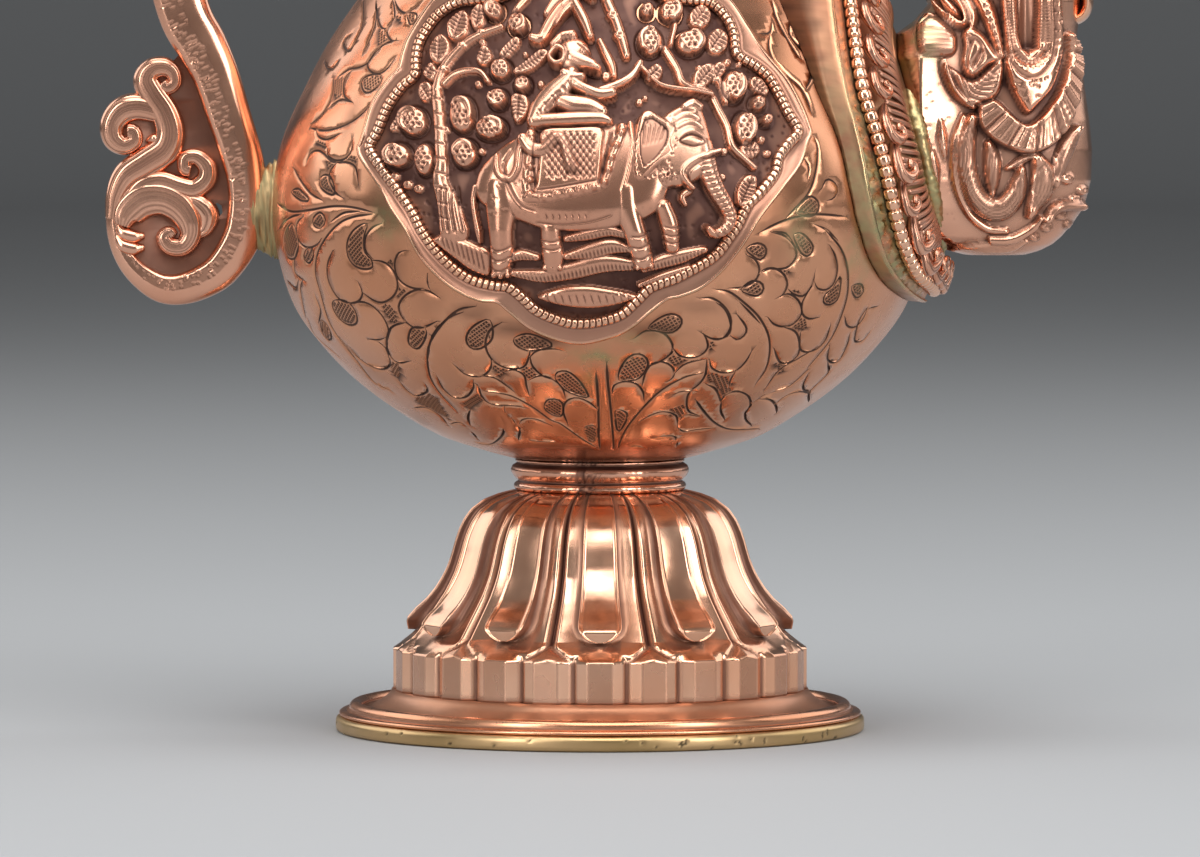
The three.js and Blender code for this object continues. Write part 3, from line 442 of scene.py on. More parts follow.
# L is a line, T an outline with a hatched inside, S a hatched patch
CHASING = """
L 395,0 398,8 405,12.5 413,9 422,1.5
L 376,0 377.5,17 381.7,27.5 388,27.5
L 388,27.5 394,18 394,7 393,0
L 395,17 388,25 386.7,33 391.7,40 398,40
S 397,14 403,20 398,22
T 407,13 417,14 411,25
S 380,28 387,40 379,46
L 398,40 387,42 377,50 368,62 358,67 348,69 337,77
L 396,56 388,67 380,73 372,72 367,65 372,55 380,45
T 382,75 372,74 363,78 361,85 365,92 373,90 380,83
L 376,0 376,17 372,33 362,55
L 363,0 362.5,22 355,42 348,50 343,45 345,38 352,33
L 337,62 332,68 327,68 324,62
L 352,70 345,77 343,88 345,97 353,102
L 353,102 342,99 333,103 329,107.5
S 335,80 345,78 343,93 335,98
L 333,77 333,87 331,98 323,112 315,120 311,123
L 372.5,102 360,115 348,123 335,128 323,130 310,127.5
L 341,132.5 332,137 325,139 318,136 316,130
L 327,148 327.5,155 335,160 345,158 351,150 352,140
S 315,142 323,140 325,148
L 306,163 310,153 317,150 323,153 330,160 337,162 347,162 355,167 358,183
L 337,162 330,170 329,180 335,192 342.5,197.5
S 325,162 333,162 328,168
S 347,157 355,158 353,167
T 319,180 322,175 328,175 333,183 334,194 327,193 320,187
T 291,192 297,188 303,193 309,200 300,200
L 293,167 300,180 310,193 322,200
L 277.5,204 290,211 307,210 332,206 352,207 373,212
L 372,214 355,216 340,222 327,235 317,253 315,273 320,293 328,320 340,340 353,357
L 360,211 345,212 337,216 330,222
T 320,228 313,225 313,217 320,212 325,220
L 278,230 283,222 292,216 301,214
L 303,216 297,222 296,232 300,243 308,247.5 317,244 321,238
T 292.5,223 285,232 284,247 288,258 295,257 298,243
T 306,249 303,257 308,263 312.5,257 312,248
L 298,245 294,260 295,273 305,281
L 287,280 295,287.5 298,280
L 302,280 300,290 305,317
L 316,298 320,310 318,323
T 320,320 327,325 331,337 328,340 322,333
L 307,318 315,335 337,355
L 348,346 360,359
L 332.5,250 327,263 327,277 332,290 340,300 350,303 358,301 362,293 360,287 357.5,281
L 362,292 372,300 382,302.5 392,297 397,287 395,275 388,265 380,261 372,260
L 372,258 365,250 365,237 372,227 382,223
T 367,223 355,228 347,240 347,255 353,265 363,269 372,267 370,258 364,252 363,238
L 405,250 398,253 394,263 396,275 402,283 412,288 423,288
S 385,262 393,260 393,268
L 440,298 428,291 415,290 403,297 398,307 402,318 412,327 423,327.5 437,321
S 398,288 408,292 398,298
L 427,273 427,283 430,290
T 334,300 347,302 355,312 356,323 348,325 338,318 332,307
L 348,303 362,302 373,307 383,318 388,330 387,342
L 367.5,339 378,340 385,337.5
L 378,342 385,348 389,359
S 380,303 392,307 397,318 392,323 383,310
L 405,322.5 397,324 390,329 387,340 387,352 393,359
T 425,328 425,338 417.5,349 409,345 408,337 412,328
L 463,312 448,318 435,332 429,345 427.5,360
L 476,306 458,310 442,324 430,342 427,360 430,378 440,394 458,413
T 490,320 478,323 468,332 466,342 472,349 482,348 492,338
L 502,322 490,330 485,344 490,358 500,366 512,369 524,367 529,356 530,350
T 514,338 528,334 546,340 552,346 540,350 528,351 516,346
L 529,358 537,351 552,349 560,350
L 530,356 532,366 542,376 554,380
L 454,365 464,374 476,377 486,374 491,366 491,360
S 492,366 504,370 500,378
L 480,376 494,378 506,386 514,392
L 504,372 514,370 524,376 526,386 529,395
S 522,368 534,370 536,378 528,382
L 529,380 540,376 552,379 562,388 565,397
L 437,377 442,388 452,397 460,398.6 468,396 473,388 473,380
L 473,382 478,386 480,394 486,402 498,406 510,405.6 526,408
S 464,402 480,394 483,400 470,409
L 484,391 510,396 530,406 550,420 560,424 580,438 598,449
L 470,410 468,418 470,426 473,427
L 504,406 506,414 516,424 520,430 518,440
L 500,418 504,426 502,436 492,444 480,444
L 519,424 522,420 534,419 552,426
L 520,430 528,440 542,442 554,442
L 450,424 460,423 470,430 478,440
L 414,408 426,408 440,416 448,426
L 425,384 427,392 416,396 406,390 400,382
L 410,361 398,363 390,356 386,344 388,332 393,326 404,323
L 347,346 356,356 370,366 382,369.6 389,366 389.6,358
S 390,364 398,362 400,378 394,376
L 340,338 356,360 374,382 393,392
S 414,398 432,394 448,418 440,414 420,404
L 596,373 598,400 599,440 600,450
L 606.6,363 608,384 611,412 614,450
T 555,378 558,372 568,372 578,380 584,388 588,398 572,394 562,388
T 544,406 548,400 558,400 563,406 562,416 554,416 546,411
L 568,425 563,412 566,402 576,398 588,402 598,410
T 583,430 588,426 596,427 598,436 593,442 586,438
T 648,328 660,318 672,314 681,318 681,326 672,333 660,332
L 635,338 646,331 660,332 668,337 673,346 671,354 660,362 650,366 646,372 642,386
T 619,380 620,370 628,358 638,354 646,358 648,366 640,378 630,381
L 612,394 614,386 624,382 636,384 643,392 644,400
L 645,376 649,367 658,362 668,364 674,370 673,378 667,382
L 673,348 680,356 692,358 702,355 708,348 707,340 703,333
L 703,333 710,338 720,339 729,335 731,324 726,310 716,302
L 731,336 738,340 746,334 746,326 737,314
L 740,302 750,312 760,323
S 668,356 676,354 688,358 678,366 670,362
L 674,374 686,364 706,359
L 703,373 684,378 660,392 640,412 626,430 618,448
L 707,360 706,374 700,384 690,392 687,402 689,412 700,416
L 671,397 680,392 694,391
S 668,412 684,406 680,418
L 641,421 652,415 664,412 676,416 678,426
L 680,420 686,415 700,417
L 678,428 684,432 696,430 716,428
L 654,438 668,436 676,438 677,448
T 615,412 620,410 627,414 626,422 618,432
L 626,450 634,446 644,448
L 695,399 704,412 716,424 732,430 760,429
L 706,384 716,390 721,402 721,412 725,420
L 720,404 726,395 738,392 748,396 751,406 746,412 746,420 752,426
L 710,360 712,368 722,373 736,371 746,362 752,351
L 736,371 731,380 729,388
S 706,374 720,375 730,380 732,388 724,394
S 708,342 716,342 710,350
L 751,404 760,398
T 746,248 758,243 766,247 766,255 760,260 752,255
L 747,255 756,260 760,270 756,280 744,287 729,288
L 772,232 786,236 795,246 797,256 790,266 780,269 768,268 760,272
T 794,234 802,233 810,240 814,248 809,256 802,253 796,242
T 741,289 752,281 762,283 764,290 758,296 748,294
L 762,272 774,268 784,274 788,284 784,294 777,298
S 782,268 791,267 788,278
L 788,288 794,294 804,296 811,288 814,282 815,273
L 815,282 818,288 826,290 834,284 838,270 836,256 830,245
L 826,230 840,246 847,262 849,280 847,300 838,326 828,344 808,368
T 833,288 826,294 824,302 830,305 838,300 841,288 841,276
T 852,286 854,294 858,298 864,292 862,284
L 780,296 790,294 800,302 802,314 794,324 784,327 774,324 768,317
L 810,290 803,302 803,314 810,319 820,317
S 790,289 802,294 796,300
S 792,326 802,316 808,320 804,330
L 784,327 796,332 800,344 798,356 788,363 780,362 774,348
L 801,332 800,346 804,352 816,350 826,340 831,325
L 756,384 766,370 770,354 769,336 760,318 746,304 730,292 716,289
S 776,364 786,366 780,374
L 766,388 780,370 800,358 820,346
L 774,392 790,386 810,368
L 845,316 848,326 856,327 864,318 868,307
L 850,334 848,344 840,360 832,363 828,358 830,346
L 868,307 860,320 856,334 856,342 864,340 870,332
L 870,308 878,306
L 809,373 804,384 804,390 810,392
L 828,362 829,372 822,380 810,392 809,402
L 758,399 770,400 776,406 777,413
L 726,394 736,391 748,396 751,404 746,414
L 776,404 786,396 800,392 811,394
L 700,298 712,298 724,306 731,318 730,330 722,339 712,339 702,333
L 760,33 770,32 772,21
L 772,0 776,16 786,36 800,58
L 770,34 769,46 774,60 786,74 800,86 808,100 812,114
L 790,24 790,34 800,46 808,49 815,48
L 790,0 796,12 808,23 813,23 814,16 806,4
L 807,49 812,60 812,76 805,90
L 814,136 818,148 816,172 808,194 786,218
L 803,156 809,166 808,178
L 822,188 826,180 830,179 835,182 838,187
T 796,212 804,200 812,196 819,202 818,212 810,216
L 760,232 780,222 800,216 820,214 846,216
L 773,231 786,233 792,240
L 815,224 828,230 838,240
L 828,200 834,198 838,192
"""


def inside(points, ring):
    """Which points lie within a ring."""
    x, y = points[:, 0], points[:, 1]
    result = np.zeros(len(points), bool)
    for a, b in zip(ring, np.roll(ring, -1, 0)):
        crosses = (a[1] > y) != (b[1] > y)
        with np.errstate(divide="ignore", invalid="ignore"):
            at = (b[0] - a[0]) * (y - a[1]) / (b[1] - a[1]) + a[0]
        result ^= crosses & (x < at)
    return result


def leant(u, v):
    """Offsets along the hatching's own two directions."""
    c, s = math.cos(HATCH_LEAN), math.sin(HATCH_LEAN)
    return np.stack([u * c - v * s, u * s + v * c], -1)


def chase_lines():
    """Lines and pits of the belly's front half, as turn and run."""
    lines, pits = [], []
    for kind, pixels in traces(CHASING):
        curve_pixels = spline(pixels, 2.5, closed=kind != "L")
        place = on_belly(curve_pixels)
        if kind != "L":
            scale = np.interp(place[:, 1].mean(), belly_run, belly_line[:, 0])
            middle = place.mean(0)
            flat = (place - middle) * [scale, 1]
            reach = np.abs(flat).max() + 1
            ticks = np.arange(-reach, reach, HATCH_PITCH)
            u, v = np.meshgrid(ticks, ticks)
            spots = leant(u, v)
            spots = spots.reshape(-1, 2)
            shrunk = flat * (0.86 if kind == "T" else 1.0)
            spots = spots[inside(spots, shrunk)]
            pits.append(spots / [scale, 1] + middle)
        if kind == "T":
            place = np.vstack([place, place[:1]])
        if kind != "S":
            lines.append(place)
    return lines, np.concatenate(pits)


def make_belly():
    rng = random.Random(3)
    lines, pits = chase_lines()
    points, edges, samples = [], [], []
    for line in lines:
        scale = np.interp(line[:, 1], belly_run, belly_line[:, 0])
        flat = np.stack([line[:, 0] * scale.mean(), line[:, 1]], -1)
        length = np.linalg.norm(np.diff(flat, axis=0), axis=1).sum()
        count = max(int(length / LINE_STEP) + 1, 4)
        flat = even(flat, count)
        along = tangents(flat)
        side = np.stack([-along[:, 1], along[:, 0]], -1)
        run = np.linspace(0, length, count)
        taper = 0.3 + 0.7 * np.clip(np.minimum(run, length - run) / 2.2, 0, 1)
        keep = np.abs(flat[:, 0] / scale.mean()) < math.pi / 2 - 0.012
        for offset in (-LINE_EDGE, -LINE_HALF, LINE_HALF, LINE_EDGE):
            track = (flat + side * offset * taper[:, None]) / [scale.mean(), 1]
            base = len(points)
            inner = np.flatnonzero(keep & (np.abs(track[:, 0]) < math.pi / 2 - 0.01))
            index = {k: base + n for n, k in enumerate(inner)}
            points.extend(track[inner])
            edges.extend((index[k], index[k + 1]) for k in inner if k + 1 in index)
        dense = even(np.hstack([flat, taper[:, None]]), int(length / 0.12) + 2)
        samples.append(dense / [scale.mean(), 1, 1])
    samples = np.concatenate(samples)
    tree = kdtree.KDTree(len(samples))
    for i, (turn, run, _) in enumerate(samples):
        tree.insert((turn * FLAT_RADIUS, run, 0), i)
    tree.balance()

    def gap(turn, run):
        """Distance to the nearest chased line, and how full that line is."""
        _, i, away = tree.find((turn * FLAT_RADIUS, run, 0))
        return away, samples[i, 2]

    pits = np.array([p for p in pits if gap(*p)[0] > 0.3 and abs(p[0]) < math.pi / 2 - 0.02])
    pit_start = len(points)
    pit_tree = kdtree.KDTree(len(pits))
    for i, (turn, run) in enumerate(pits):
        pit_tree.insert((turn * FLAT_RADIUS, run, 0), i)
    pit_tree.balance()

    def hatched(turn, run):
        return pit_tree.find((turn * FLAT_RADIUS, run, 0))[2] < HATCH_PITCH

    corners = PIT_HALF * np.array([(-1, -1), (1, -1), (1, 1), (-1, 1)])
    lands = HATCH_PITCH / 2 * np.array([(1, 0), (0, 1), (1, 1)])
    for turn, run in pits:
        scale = np.interp(run, belly_run, belly_line[:, 0])
        for across, up in leant(*corners.T):
            points.append((turn + across / scale, run + up))
    pit_end = len(points)
    for turn, run in pits:
        scale = np.interp(run, belly_run, belly_line[:, 0])
        for across, up in leant(*lands.T):
            spot = (turn + across / scale, run + up)
            if gap(*spot)[0] > LINE_EDGE + 0.04:
                points.append(spot)
    rows = int(belly_run[-1] / GRID_PITCH)
    columns = int(math.pi * MEAN_RADIUS / GRID_PITCH)
    for row in range(rows + 1):
        run = belly_run[-1] * row / rows
        border = row in (0, rows)
        for column in range(columns + 1):
            turn = math.pi * (column / columns - 0.5)
            edge = border or column in (0, columns)
            if not edge:
                run_here = run + rng.uniform(-0.2, 0.2)
                if gap(turn, run_here)[0] < 0.55 or hatched(turn, run_here):
                    continue
                points.append((turn, run_here))
            else:
                points.append((turn, run))
    flat_points = [Vector((turn * FLAT_RADIUS, run)) for turn, run in points]
    result = geometry.delaunay_2d_cdt(flat_points, edges, [], 0, 1e-4)
    out = np.array([tuple(v) for v in result[0]]) / [FLAT_RADIUS, 1]
    triangles = np.array(result[2])
    origin = result[3]
    lift = np.zeros(len(out))
    tarnish = np.zeros(len(out))
    for i, (turn, run) in enumerate(out):
        away, full = gap(turn, run)
        source = origin[i][0] if origin[i] else -1
        if pit_start <= source < pit_end:
            lift[i], tarnish[i] = -0.13, 1
        elif away < LINE_EDGE * full * 0.75:
            lift[i], tarnish[i] = -LINE_DEPTH * full, 1
        else:
            lift[i] = 0.025 - 0.07 * math.exp(-away / 1.1)
    lift = np.minimum(lift, 0.03)
    return out, triangles, lift, tarnish


# Solder and soot on the belly, as pixel, half width and half height in millimetres, and strength
STAINS = [
    (386, 218, 2.6, 3.4, 0.8), (597, 356, 4.6, 1.7, 0.95), (588, 374, 1.2, 3.6, 0.8),
    (800, 226, 2.4, 4.2, 0.6), (856, 236, 1.8, 6, 0.7), (868, 262, 2.2, 4, 0.6), (640, 338, 5, 1.2, 0.4),
    (284, 214, 1.6, 4.6, 0.9),
]
SMEARS = [
    (474, 312, 3.6, 1.6, 0.6), (512, 328, 5.4, 1.8, 0.66), (548, 340, 4.2, 1.5, 0.7),
    (650, 330, 5, 1.8, 0.6), (702, 306, 5, 1.7, 0.45), (396, 264, 1.8, 3.4, 0.35),
    (430, 300, 3, 3, 0.25), (776, 250, 3, 4, 0.4),
    (350, 120, 1.6, 4, 0.4), (420, 420, 6, 3, 0.25), (690, 400, 9, 2, 0.2), (820, 180, 2, 6, 0.3),
    (300, 330, 3, 6, 0.2), (372, 372, 5, 2.5, 0.2), (556, 446, 12, 1.2, 0.45),
]


def blots(place, spots):
    """How far each place on the belly is within soft oval spots, 0 to 1."""
    total = np.zeros(len(place))
    for x, y, half_width, half_height, strength in spots:
        turn, run = on_belly(np.array([[x, y]], float))[0]
        u = (place[:, 0] - turn) * MEAN_RADIUS / half_width
        v = (place[:, 1] - run) / half_height
        total = np.maximum(total, strength * np.exp(-(u**2 + v**2)))
    return total


def belly_piece():
    """The chased front, its mirror image as the back, and a plain inside."""
    place, triangles, lift, tarnish = make_belly()
    count = len(place)
    front = belly_point(place[:, 0], place[:, 1], lift)
    seam = np.abs(place[:, 0]) > math.pi / 2 - 1e-4
    stain, smear = blots(place, STAINS), blots(place, SMEARS)
    tarnish = np.maximum(tarnish, smear)
    own = np.flatnonzero(~seam)
    back_index = np.arange(count)
    back_index[own] = count + np.arange(len(own))
    points = np.vstack([front, front[own] * [1, -1, 1]])
    dark = np.concatenate([tarnish, tarnish[own]])
    green = np.concatenate([stain, stain[own]])
    area = front[triangles]
    facing = np.cross(area[:, 1] - area[:, 0], area[:, 2] - area[:, 0])
    outward = (facing * area.mean(1) * [1, 1, 0]).sum(1) > 0
    triangles = np.where(outward[:, None], triangles, triangles[:, ::-1])
    faces = np.vstack([triangles, back_index[triangles][:, ::-1]])

    def rim(run):
        on = np.flatnonzero(np.abs(place[:, 1] - run) < 1e-3)
        ring = np.unique(np.concatenate([on, back_index[on]]))
        return ring[np.argsort(np.arctan2(points[ring, 1], points[ring, 0]))]

    low, high = rim(0), rim(belly_run[-1])
    sides = len(low)
    angle = np.arctan2(points[low, 1], points[low, 0])
    run = np.linspace(0, belly_run[-1], INSIDE_ROWS)
    radius = np.interp(run, belly_run, belly_line[:, 0] - BELLY_WALL * belly_out[:, 0])
    height = np.interp(run, belly_run, belly_line[:, 1] - BELLY_WALL * belly_out[:, 1])
    height[0], height[-1] = BELLY_BASE, BELLY_BASE + BELLY_HEIGHT
    radius, height = radius[:, None], height[:, None]
    inner = np.stack([radius * np.cos(angle), radius * np.sin(angle), np.repeat(height, sides, 1)], -1)
    base = len(points)
    inner_faces = (grid_faces(INSIDE_ROWS, sides) + base)[:, ::-1]
    j = np.arange(sides)
    k = (j + 1) % sides
    bottom = np.stack([low[j], base + j, base + k, low[k]], -1)
    top = base + (INSIDE_ROWS - 1) * sides
    cap = np.stack([high[k], top + k, top + j, high[j]], -1)
    points = np.vstack([points, inner.reshape(-1, 3)])
    dark = np.concatenate([dark, np.full(INSIDE_ROWS * sides, 0.5)])
    green = np.concatenate([green, np.zeros(INSIDE_ROWS * sides)])
    make_mesh(
        "chased_belly", points, [faces, inner_faces, bottom, cap], "raised_copper",
        nodes=("belly", "belly_shoulder"), tarnish=dark, stain=green,
    )


belly_piece()


# Relief: heights over a part of the photograph, drawn with strokes
LEAF_STRIPE = 3.8


class Relief:
    """Heights in millimetres over a grid of pixels."""

    def __init__(self, left, top, right, bottom, cell):
        self.cell = cell
        self.x = np.arange(left, right + cell, cell)
        self.y = np.arange(top, bottom + cell, cell)
        self.height = np.zeros((len(self.y), len(self.x)))
        self.dark = np.zeros_like(self.height)

    def window(self, points, margin):
        """The rows and columns round some points, and the pixels of their cells."""
        low = np.min(points, 0)[:2] - margin
        high = np.max(points, 0)[:2] + margin
        columns = slice(*np.searchsorted(self.x, [low[0], high[0]]))
        rows = slice(*np.searchsorted(self.y, [low[1], high[1]]))
        x, y = np.meshgrid(self.x[columns], self.y[rows])
        return (rows, columns), x, y

    def near(self, x, y, line):
        """Distance to a line of points, and the nearest sample's place on it."""
        best = np.full(x.shape, 1e9)
        index = np.zeros(x.shape)
        for i in range(len(line) - 1):
            a, b = line[i, :2], line[i + 1, :2]
            ab = b - a
            t = np.clip(((x - a[0]) * ab[0] + (y - a[1]) * ab[1]) / max(ab @ ab, 1e-9), 0, 1)
            away = np.hypot(x - a[0] - t * ab[0], y - a[1] - t * ab[1])
            closer = away < best
            best = np.where(closer, away, best)
            index = np.where(closer, i + t, index)
        return best, index

    def rod(self, points, rise, foot=0.0, full=0.5, closed=False):
        """A rounded bar whose points give x, y and half width; foot is its height at its outline."""
        line = spline(points, 3, closed)
        if closed:
            line = np.vstack([line, line[:1]])
        area, x, y = self.window(line, line[:, 2].max() + 1)
        away, index = self.near(x, y, line)
        half = np.interp(index, np.arange(len(line)), line[:, 2])
        share = np.clip(1 - (away / half) ** 2, 0, 1) ** full
        shape = np.where(away < half, foot + (rise - foot) * share, -1)
        self.height[area] = np.maximum(self.height[area], shape)

    def mound(self, ring, rise, edge, foot):
        """A raised patch inside a ring, rounded over its edge width."""
        line = spline(ring, 3, closed=True)
        line = np.vstack([line, line[:1]])
        area, x, y = self.window(line, 2)
        away, _ = self.near(x, y, line)
        within = inside(np.stack([x.ravel(), y.ravel()], -1), line[:-1]).reshape(x.shape)
        share = np.sqrt(1 - (1 - np.clip(away / edge, 0, 1)) ** 2)
        shape = np.where(within, foot + (rise - foot) * share, -1)
        self.height[area] = np.maximum(self.height[area], shape)

    def groove(self, points, depth, width, dark, closed=False):
        """A chased line."""
        line = spline(points, 3, closed)
        if closed:
            line = np.vstack([line, line[:1]])
        area, x, y = self.window(line, width * 3)
        away, index = self.near(x, y, line)
        fade = np.clip(np.minimum(index, len(line) - 1 - index) / 1.5 + 0.35, 0, 1)
        stroke = np.exp(-((away / width) ** 2)) * (1 if closed else fade)
        self.height[area] -= depth * stroke
        self.dark[area] = np.maximum(self.dark[area], dark * stroke)

    def ball(self, x0, y0, rx, ry, rise, foot):
        """A rounded knob."""
        area, x, y = self.window(np.array([[x0, y0]]), max(rx, ry) + 1)
        share = 1 - ((x - x0) / rx) ** 2 - ((y - y0) / ry) ** 2
        shape = np.where(share > 0, foot + (rise - foot) * np.sqrt(np.maximum(share, 0)), -1)
        self.height[area] = np.maximum(self.height[area], shape)

    def pit(self, x0, y0, r, depth, dark=0.7):
        """A punched dot."""
        area, x, y = self.window(np.array([[x0, y0]]), r * 2.5)
        stroke = np.exp(-(((x - x0) ** 2 + (y - y0) ** 2) / r**2))
        self.height[area] -= depth * stroke
        self.dark[area] = np.maximum(self.dark[area], dark * stroke)

    def leaf(self, ring, spine, rise):
        """A striped leaf inside a ring, with a spine from its foot to its tip."""
        self.mound(ring, rise, 3.2, foot=0.35)
        (x0, y0), (x1, y1) = spine
        length = math.hypot(x1 - x0, y1 - y0)
        ux, uy = (x1 - x0) / length, (y1 - y0) / length
        width = max(abs((x - x0) * uy - (y - y0) * ux) for x, y in ring) * 0.85
        self.groove([(x0, y0), (x1, y1)], 0.45, 1.0, dark=0.8)
        for k in range(1, int(length / LEAF_STRIPE)):
            cx, cy = x0 + ux * k * LEAF_STRIPE, y0 + uy * k * LEAF_STRIPE
            s = math.sin(math.pi * min(max(k * LEAF_STRIPE / length, 0.15), 0.9)) * width
            for side in (-1, 1):
                end = (cx + ux * 2 - side * uy * s, cy + uy * 2 + side * ux * s)
                self.groove([(cx, cy), end], 0.5, 1.1, dark=0.85)

    def lock(self, points, rise, lines):
        """A lock of hair with fine lines along it."""
        self.rod(points, rise, foot=0.4, full=0.6)
        path = spline(points, 3)
        along = tangents(path[:, :2])
        side = np.stack([-along[:, 1], along[:, 0]], -1)
        for m in range(int(lines)):
            s = (m + 0.5) / lines * 2 - 1
            self.groove((path[:, :2] + side * s * 0.85 * path[:, 2:])[2:-2:2], 0.4, 0.9, dark=0.75)

    def draw(self, drawing):
        """Strokes, one a line: a kind, its numbers, and its pixels as x,y.

        rod, and ring when closed: rise, foot; each pixel with a half width
        mound: rise, width of its edge, foot
        groove, and loop when closed: depth, width, darkness
        comb: number of grooves, depth, width, darkness; each pixel with a step from groove to groove
        leaf: rise; the last two pixels are its spine
        lock: rise, number of lines; each pixel with a half width
        ball: half width, half height, rise, foot
        pit: radius, depth, darkness
        """
        for row in drawing.replace("\n  ", " ").strip().splitlines():
            kind, *words = row.split()
            numbers = [float(word) for word in words if "," not in word]
            points = [tuple(float(part) for part in word.split(",")) for word in words if "," in word]
            if kind in ("rod", "ring"):
                self.rod(points, *numbers, closed=kind == "ring")
            elif kind == "mound":
                self.mound(points, *numbers)
            elif kind in ("groove", "loop"):
                self.groove(points, *numbers, closed=kind == "loop")
            elif kind == "comb":
                for k in range(int(numbers[0])):
                    self.groove([(x + k * dx, y + k * dy) for x, y, dx, dy in points], *numbers[1:])
            elif kind == "leaf":
                self.leaf(points[:-2], points[-2:], *numbers)
            elif kind == "lock":
                self.lock(points, *numbers)
            elif kind == "ball":
                for x, y in points:
                    self.ball(x, y, *numbers)
            elif kind == "pit":
                for x, y in points:
                    self.pit(x, y, *numbers)

    def blurred(self, reach):
        """The heights smoothed over some pixels."""
        half = int(3 * reach / self.cell)
        kernel = np.exp(-0.5 * (np.arange(-half, half + 1) * self.cell / reach) ** 2)
        kernel /= kernel.sum()
        padded = np.pad(self.height, half, mode="edge")
        rows = np.apply_along_axis(np.convolve, 1, padded, kernel, "valid")
        return np.apply_along_axis(np.convolve, 0, rows, kernel, "valid")

    def recess(self):
        """How dark each place is: 1 at the bottom of recesses, 0 on ridges. It stands for patina and painted
        shade in the hollows.
        """
        deep = np.clip((self.blurred(6) - self.height) * 1.1, 0, 1)
        fine = np.clip((self.blurred(1.8) - self.height) * 4.0, 0, 1)
        return np.clip(np.maximum(self.dark, np.maximum(deep, fine)), 0, 1)

    def at(self, layer, x, y):
        """A layer's value at any pixel."""
        u = np.clip((x - self.x[0]) / self.cell, 0, len(self.x) - 1.001)
        v = np.clip((y - self.y[0]) / self.cell, 0, len(self.y) - 1.001)
        i, j = v.astype(int), u.astype(int)
        a, b = v - i, u - j
        return (
            layer[i, j] * (1 - a) * (1 - b) + layer[i + 1, j] * a * (1 - b)
            + layer[i, j + 1] * (1 - a) * b + layer[i + 1, j + 1] * a * b
        )


def pixel_of(points):
    """The pixel of the photograph where a point shows."""
    depth = CAMERA_DISTANCE + points[..., 1]
    x = IMAGE_WIDTH / 2 + FOCAL_PIXELS * points[..., 0] / depth
    y = FOCAL_PIXELS * (CAMERA_HEIGHT - points[..., 2]) / depth - PIXEL_DROP
    return x, y


# Medallions: golden edge, sloping band, twisted rope, relief

RELIEF_FLOOR = 1.1
FRAME_EDGE = [
    (358, 146), (361, 140), (372, 103), (388, 79), (398, 68), (403, 50), (410, 33), (432, 0), (447, -9),
    (470, -14), (490, -16), (503, -19), (514, -29), (534, -45), (560, -56), (588, -60), (616, -55),
    (640, -43), (657, -28), (670, -16), (690, -13), (712, -10), (730, 0), (748, 26), (758, 42),
    (769, 57), (788, 80), (802, 106), (810, 127), (811, 134), (808, 141), (800, 164), (782, 188),
    (761, 215), (748, 236), (734, 256), (718, 274), (700, 288), (680, 296), (667, 299), (652, 310),
    (630, 328), (610, 337), (582, 343), (556, 339), (530, 328), (510, 312), (497, 302), (480, 300),
    (460, 292), (440, 278), (420, 256), (406, 230), (398, 218), (390, 206), (381, 188), (366, 166),
    (359, 154),
]
ROPE_LINE = [
    (368, 148), (376, 130), (386, 106), (400, 86), (413, 74), (414, 60), (417, 42), (426, 26),
    (438, 12), (456, 1), (476, -2), (498, -4), (510, -9), (524, -20), (544, -34), (566, -42),
    (590, -45), (612, -41), (632, -32), (648, -18), (662, -5), (684, -2), (710, 1), (728, 16),
    (736, 34), (739, 53), (756, 64), (770, 76), (782, 96), (790, 112), (800, 131), (790, 144),
    (780, 158), (776, 174), (760, 194), (748, 206), (738, 226), (730, 238), (720, 252), (708, 262),
    (690, 272), (674, 280), (652, 288), (638, 301), (624, 314), (610, 320), (590, 324), (570, 324),
    (550, 318), (534, 310), (521, 298), (508, 288), (492, 286), (470, 280), (452, 268), (434, 250),
    (420, 230), (411, 212), (396, 190), (380, 168),
]
LEFT, TOP, RIGHT, BOTTOM = 352, -70, 816, 350
MIDDLE = (586, 142)
HOLE_PITCH = 5.4
CLEAR_LEFT, CLEAR_RIGHT = 545, 596


def relief_point(x, y, lift, seen=2.4):
    """A point lift above the belly, where the pixel shows a surface seen above it."""
    pixels = np.stack([np.ravel(x), np.ravel(y)], -1)
    base = from_pixels(pixels, lambda z: belly_radius(z) + seen)
    nr = np.interp(base[:, 2], belly_line[:, 1], belly_out[:, 0])
    nz = np.interp(base[:, 2], belly_line[:, 1], belly_out[:, 1])
    radial = unit(base * [1, 1, 0])
    normal = radial * nr[:, None] + np.array([0, 0, 1]) * nz[:, None]
    base = base - radial * (seen * (1 - nr))[:, None]
    return base + normal * (np.ravel(lift) - seen)[:, None]


def by_angle(points, count):
    """A ring of pixels resampled at even angles round the medallion's middle."""
    line = spline(points, 1.0, closed=True)
    angle = np.arctan2(line[:, 1] - MIDDLE[1], line[:, 0] - MIDDLE[0])
    order = np.argsort(angle)
    at = -math.pi + TAU * np.arange(count) / count
    return np.stack([np.interp(at, angle[order], line[order, k], period=TAU) for k in (0, 1)], -1)


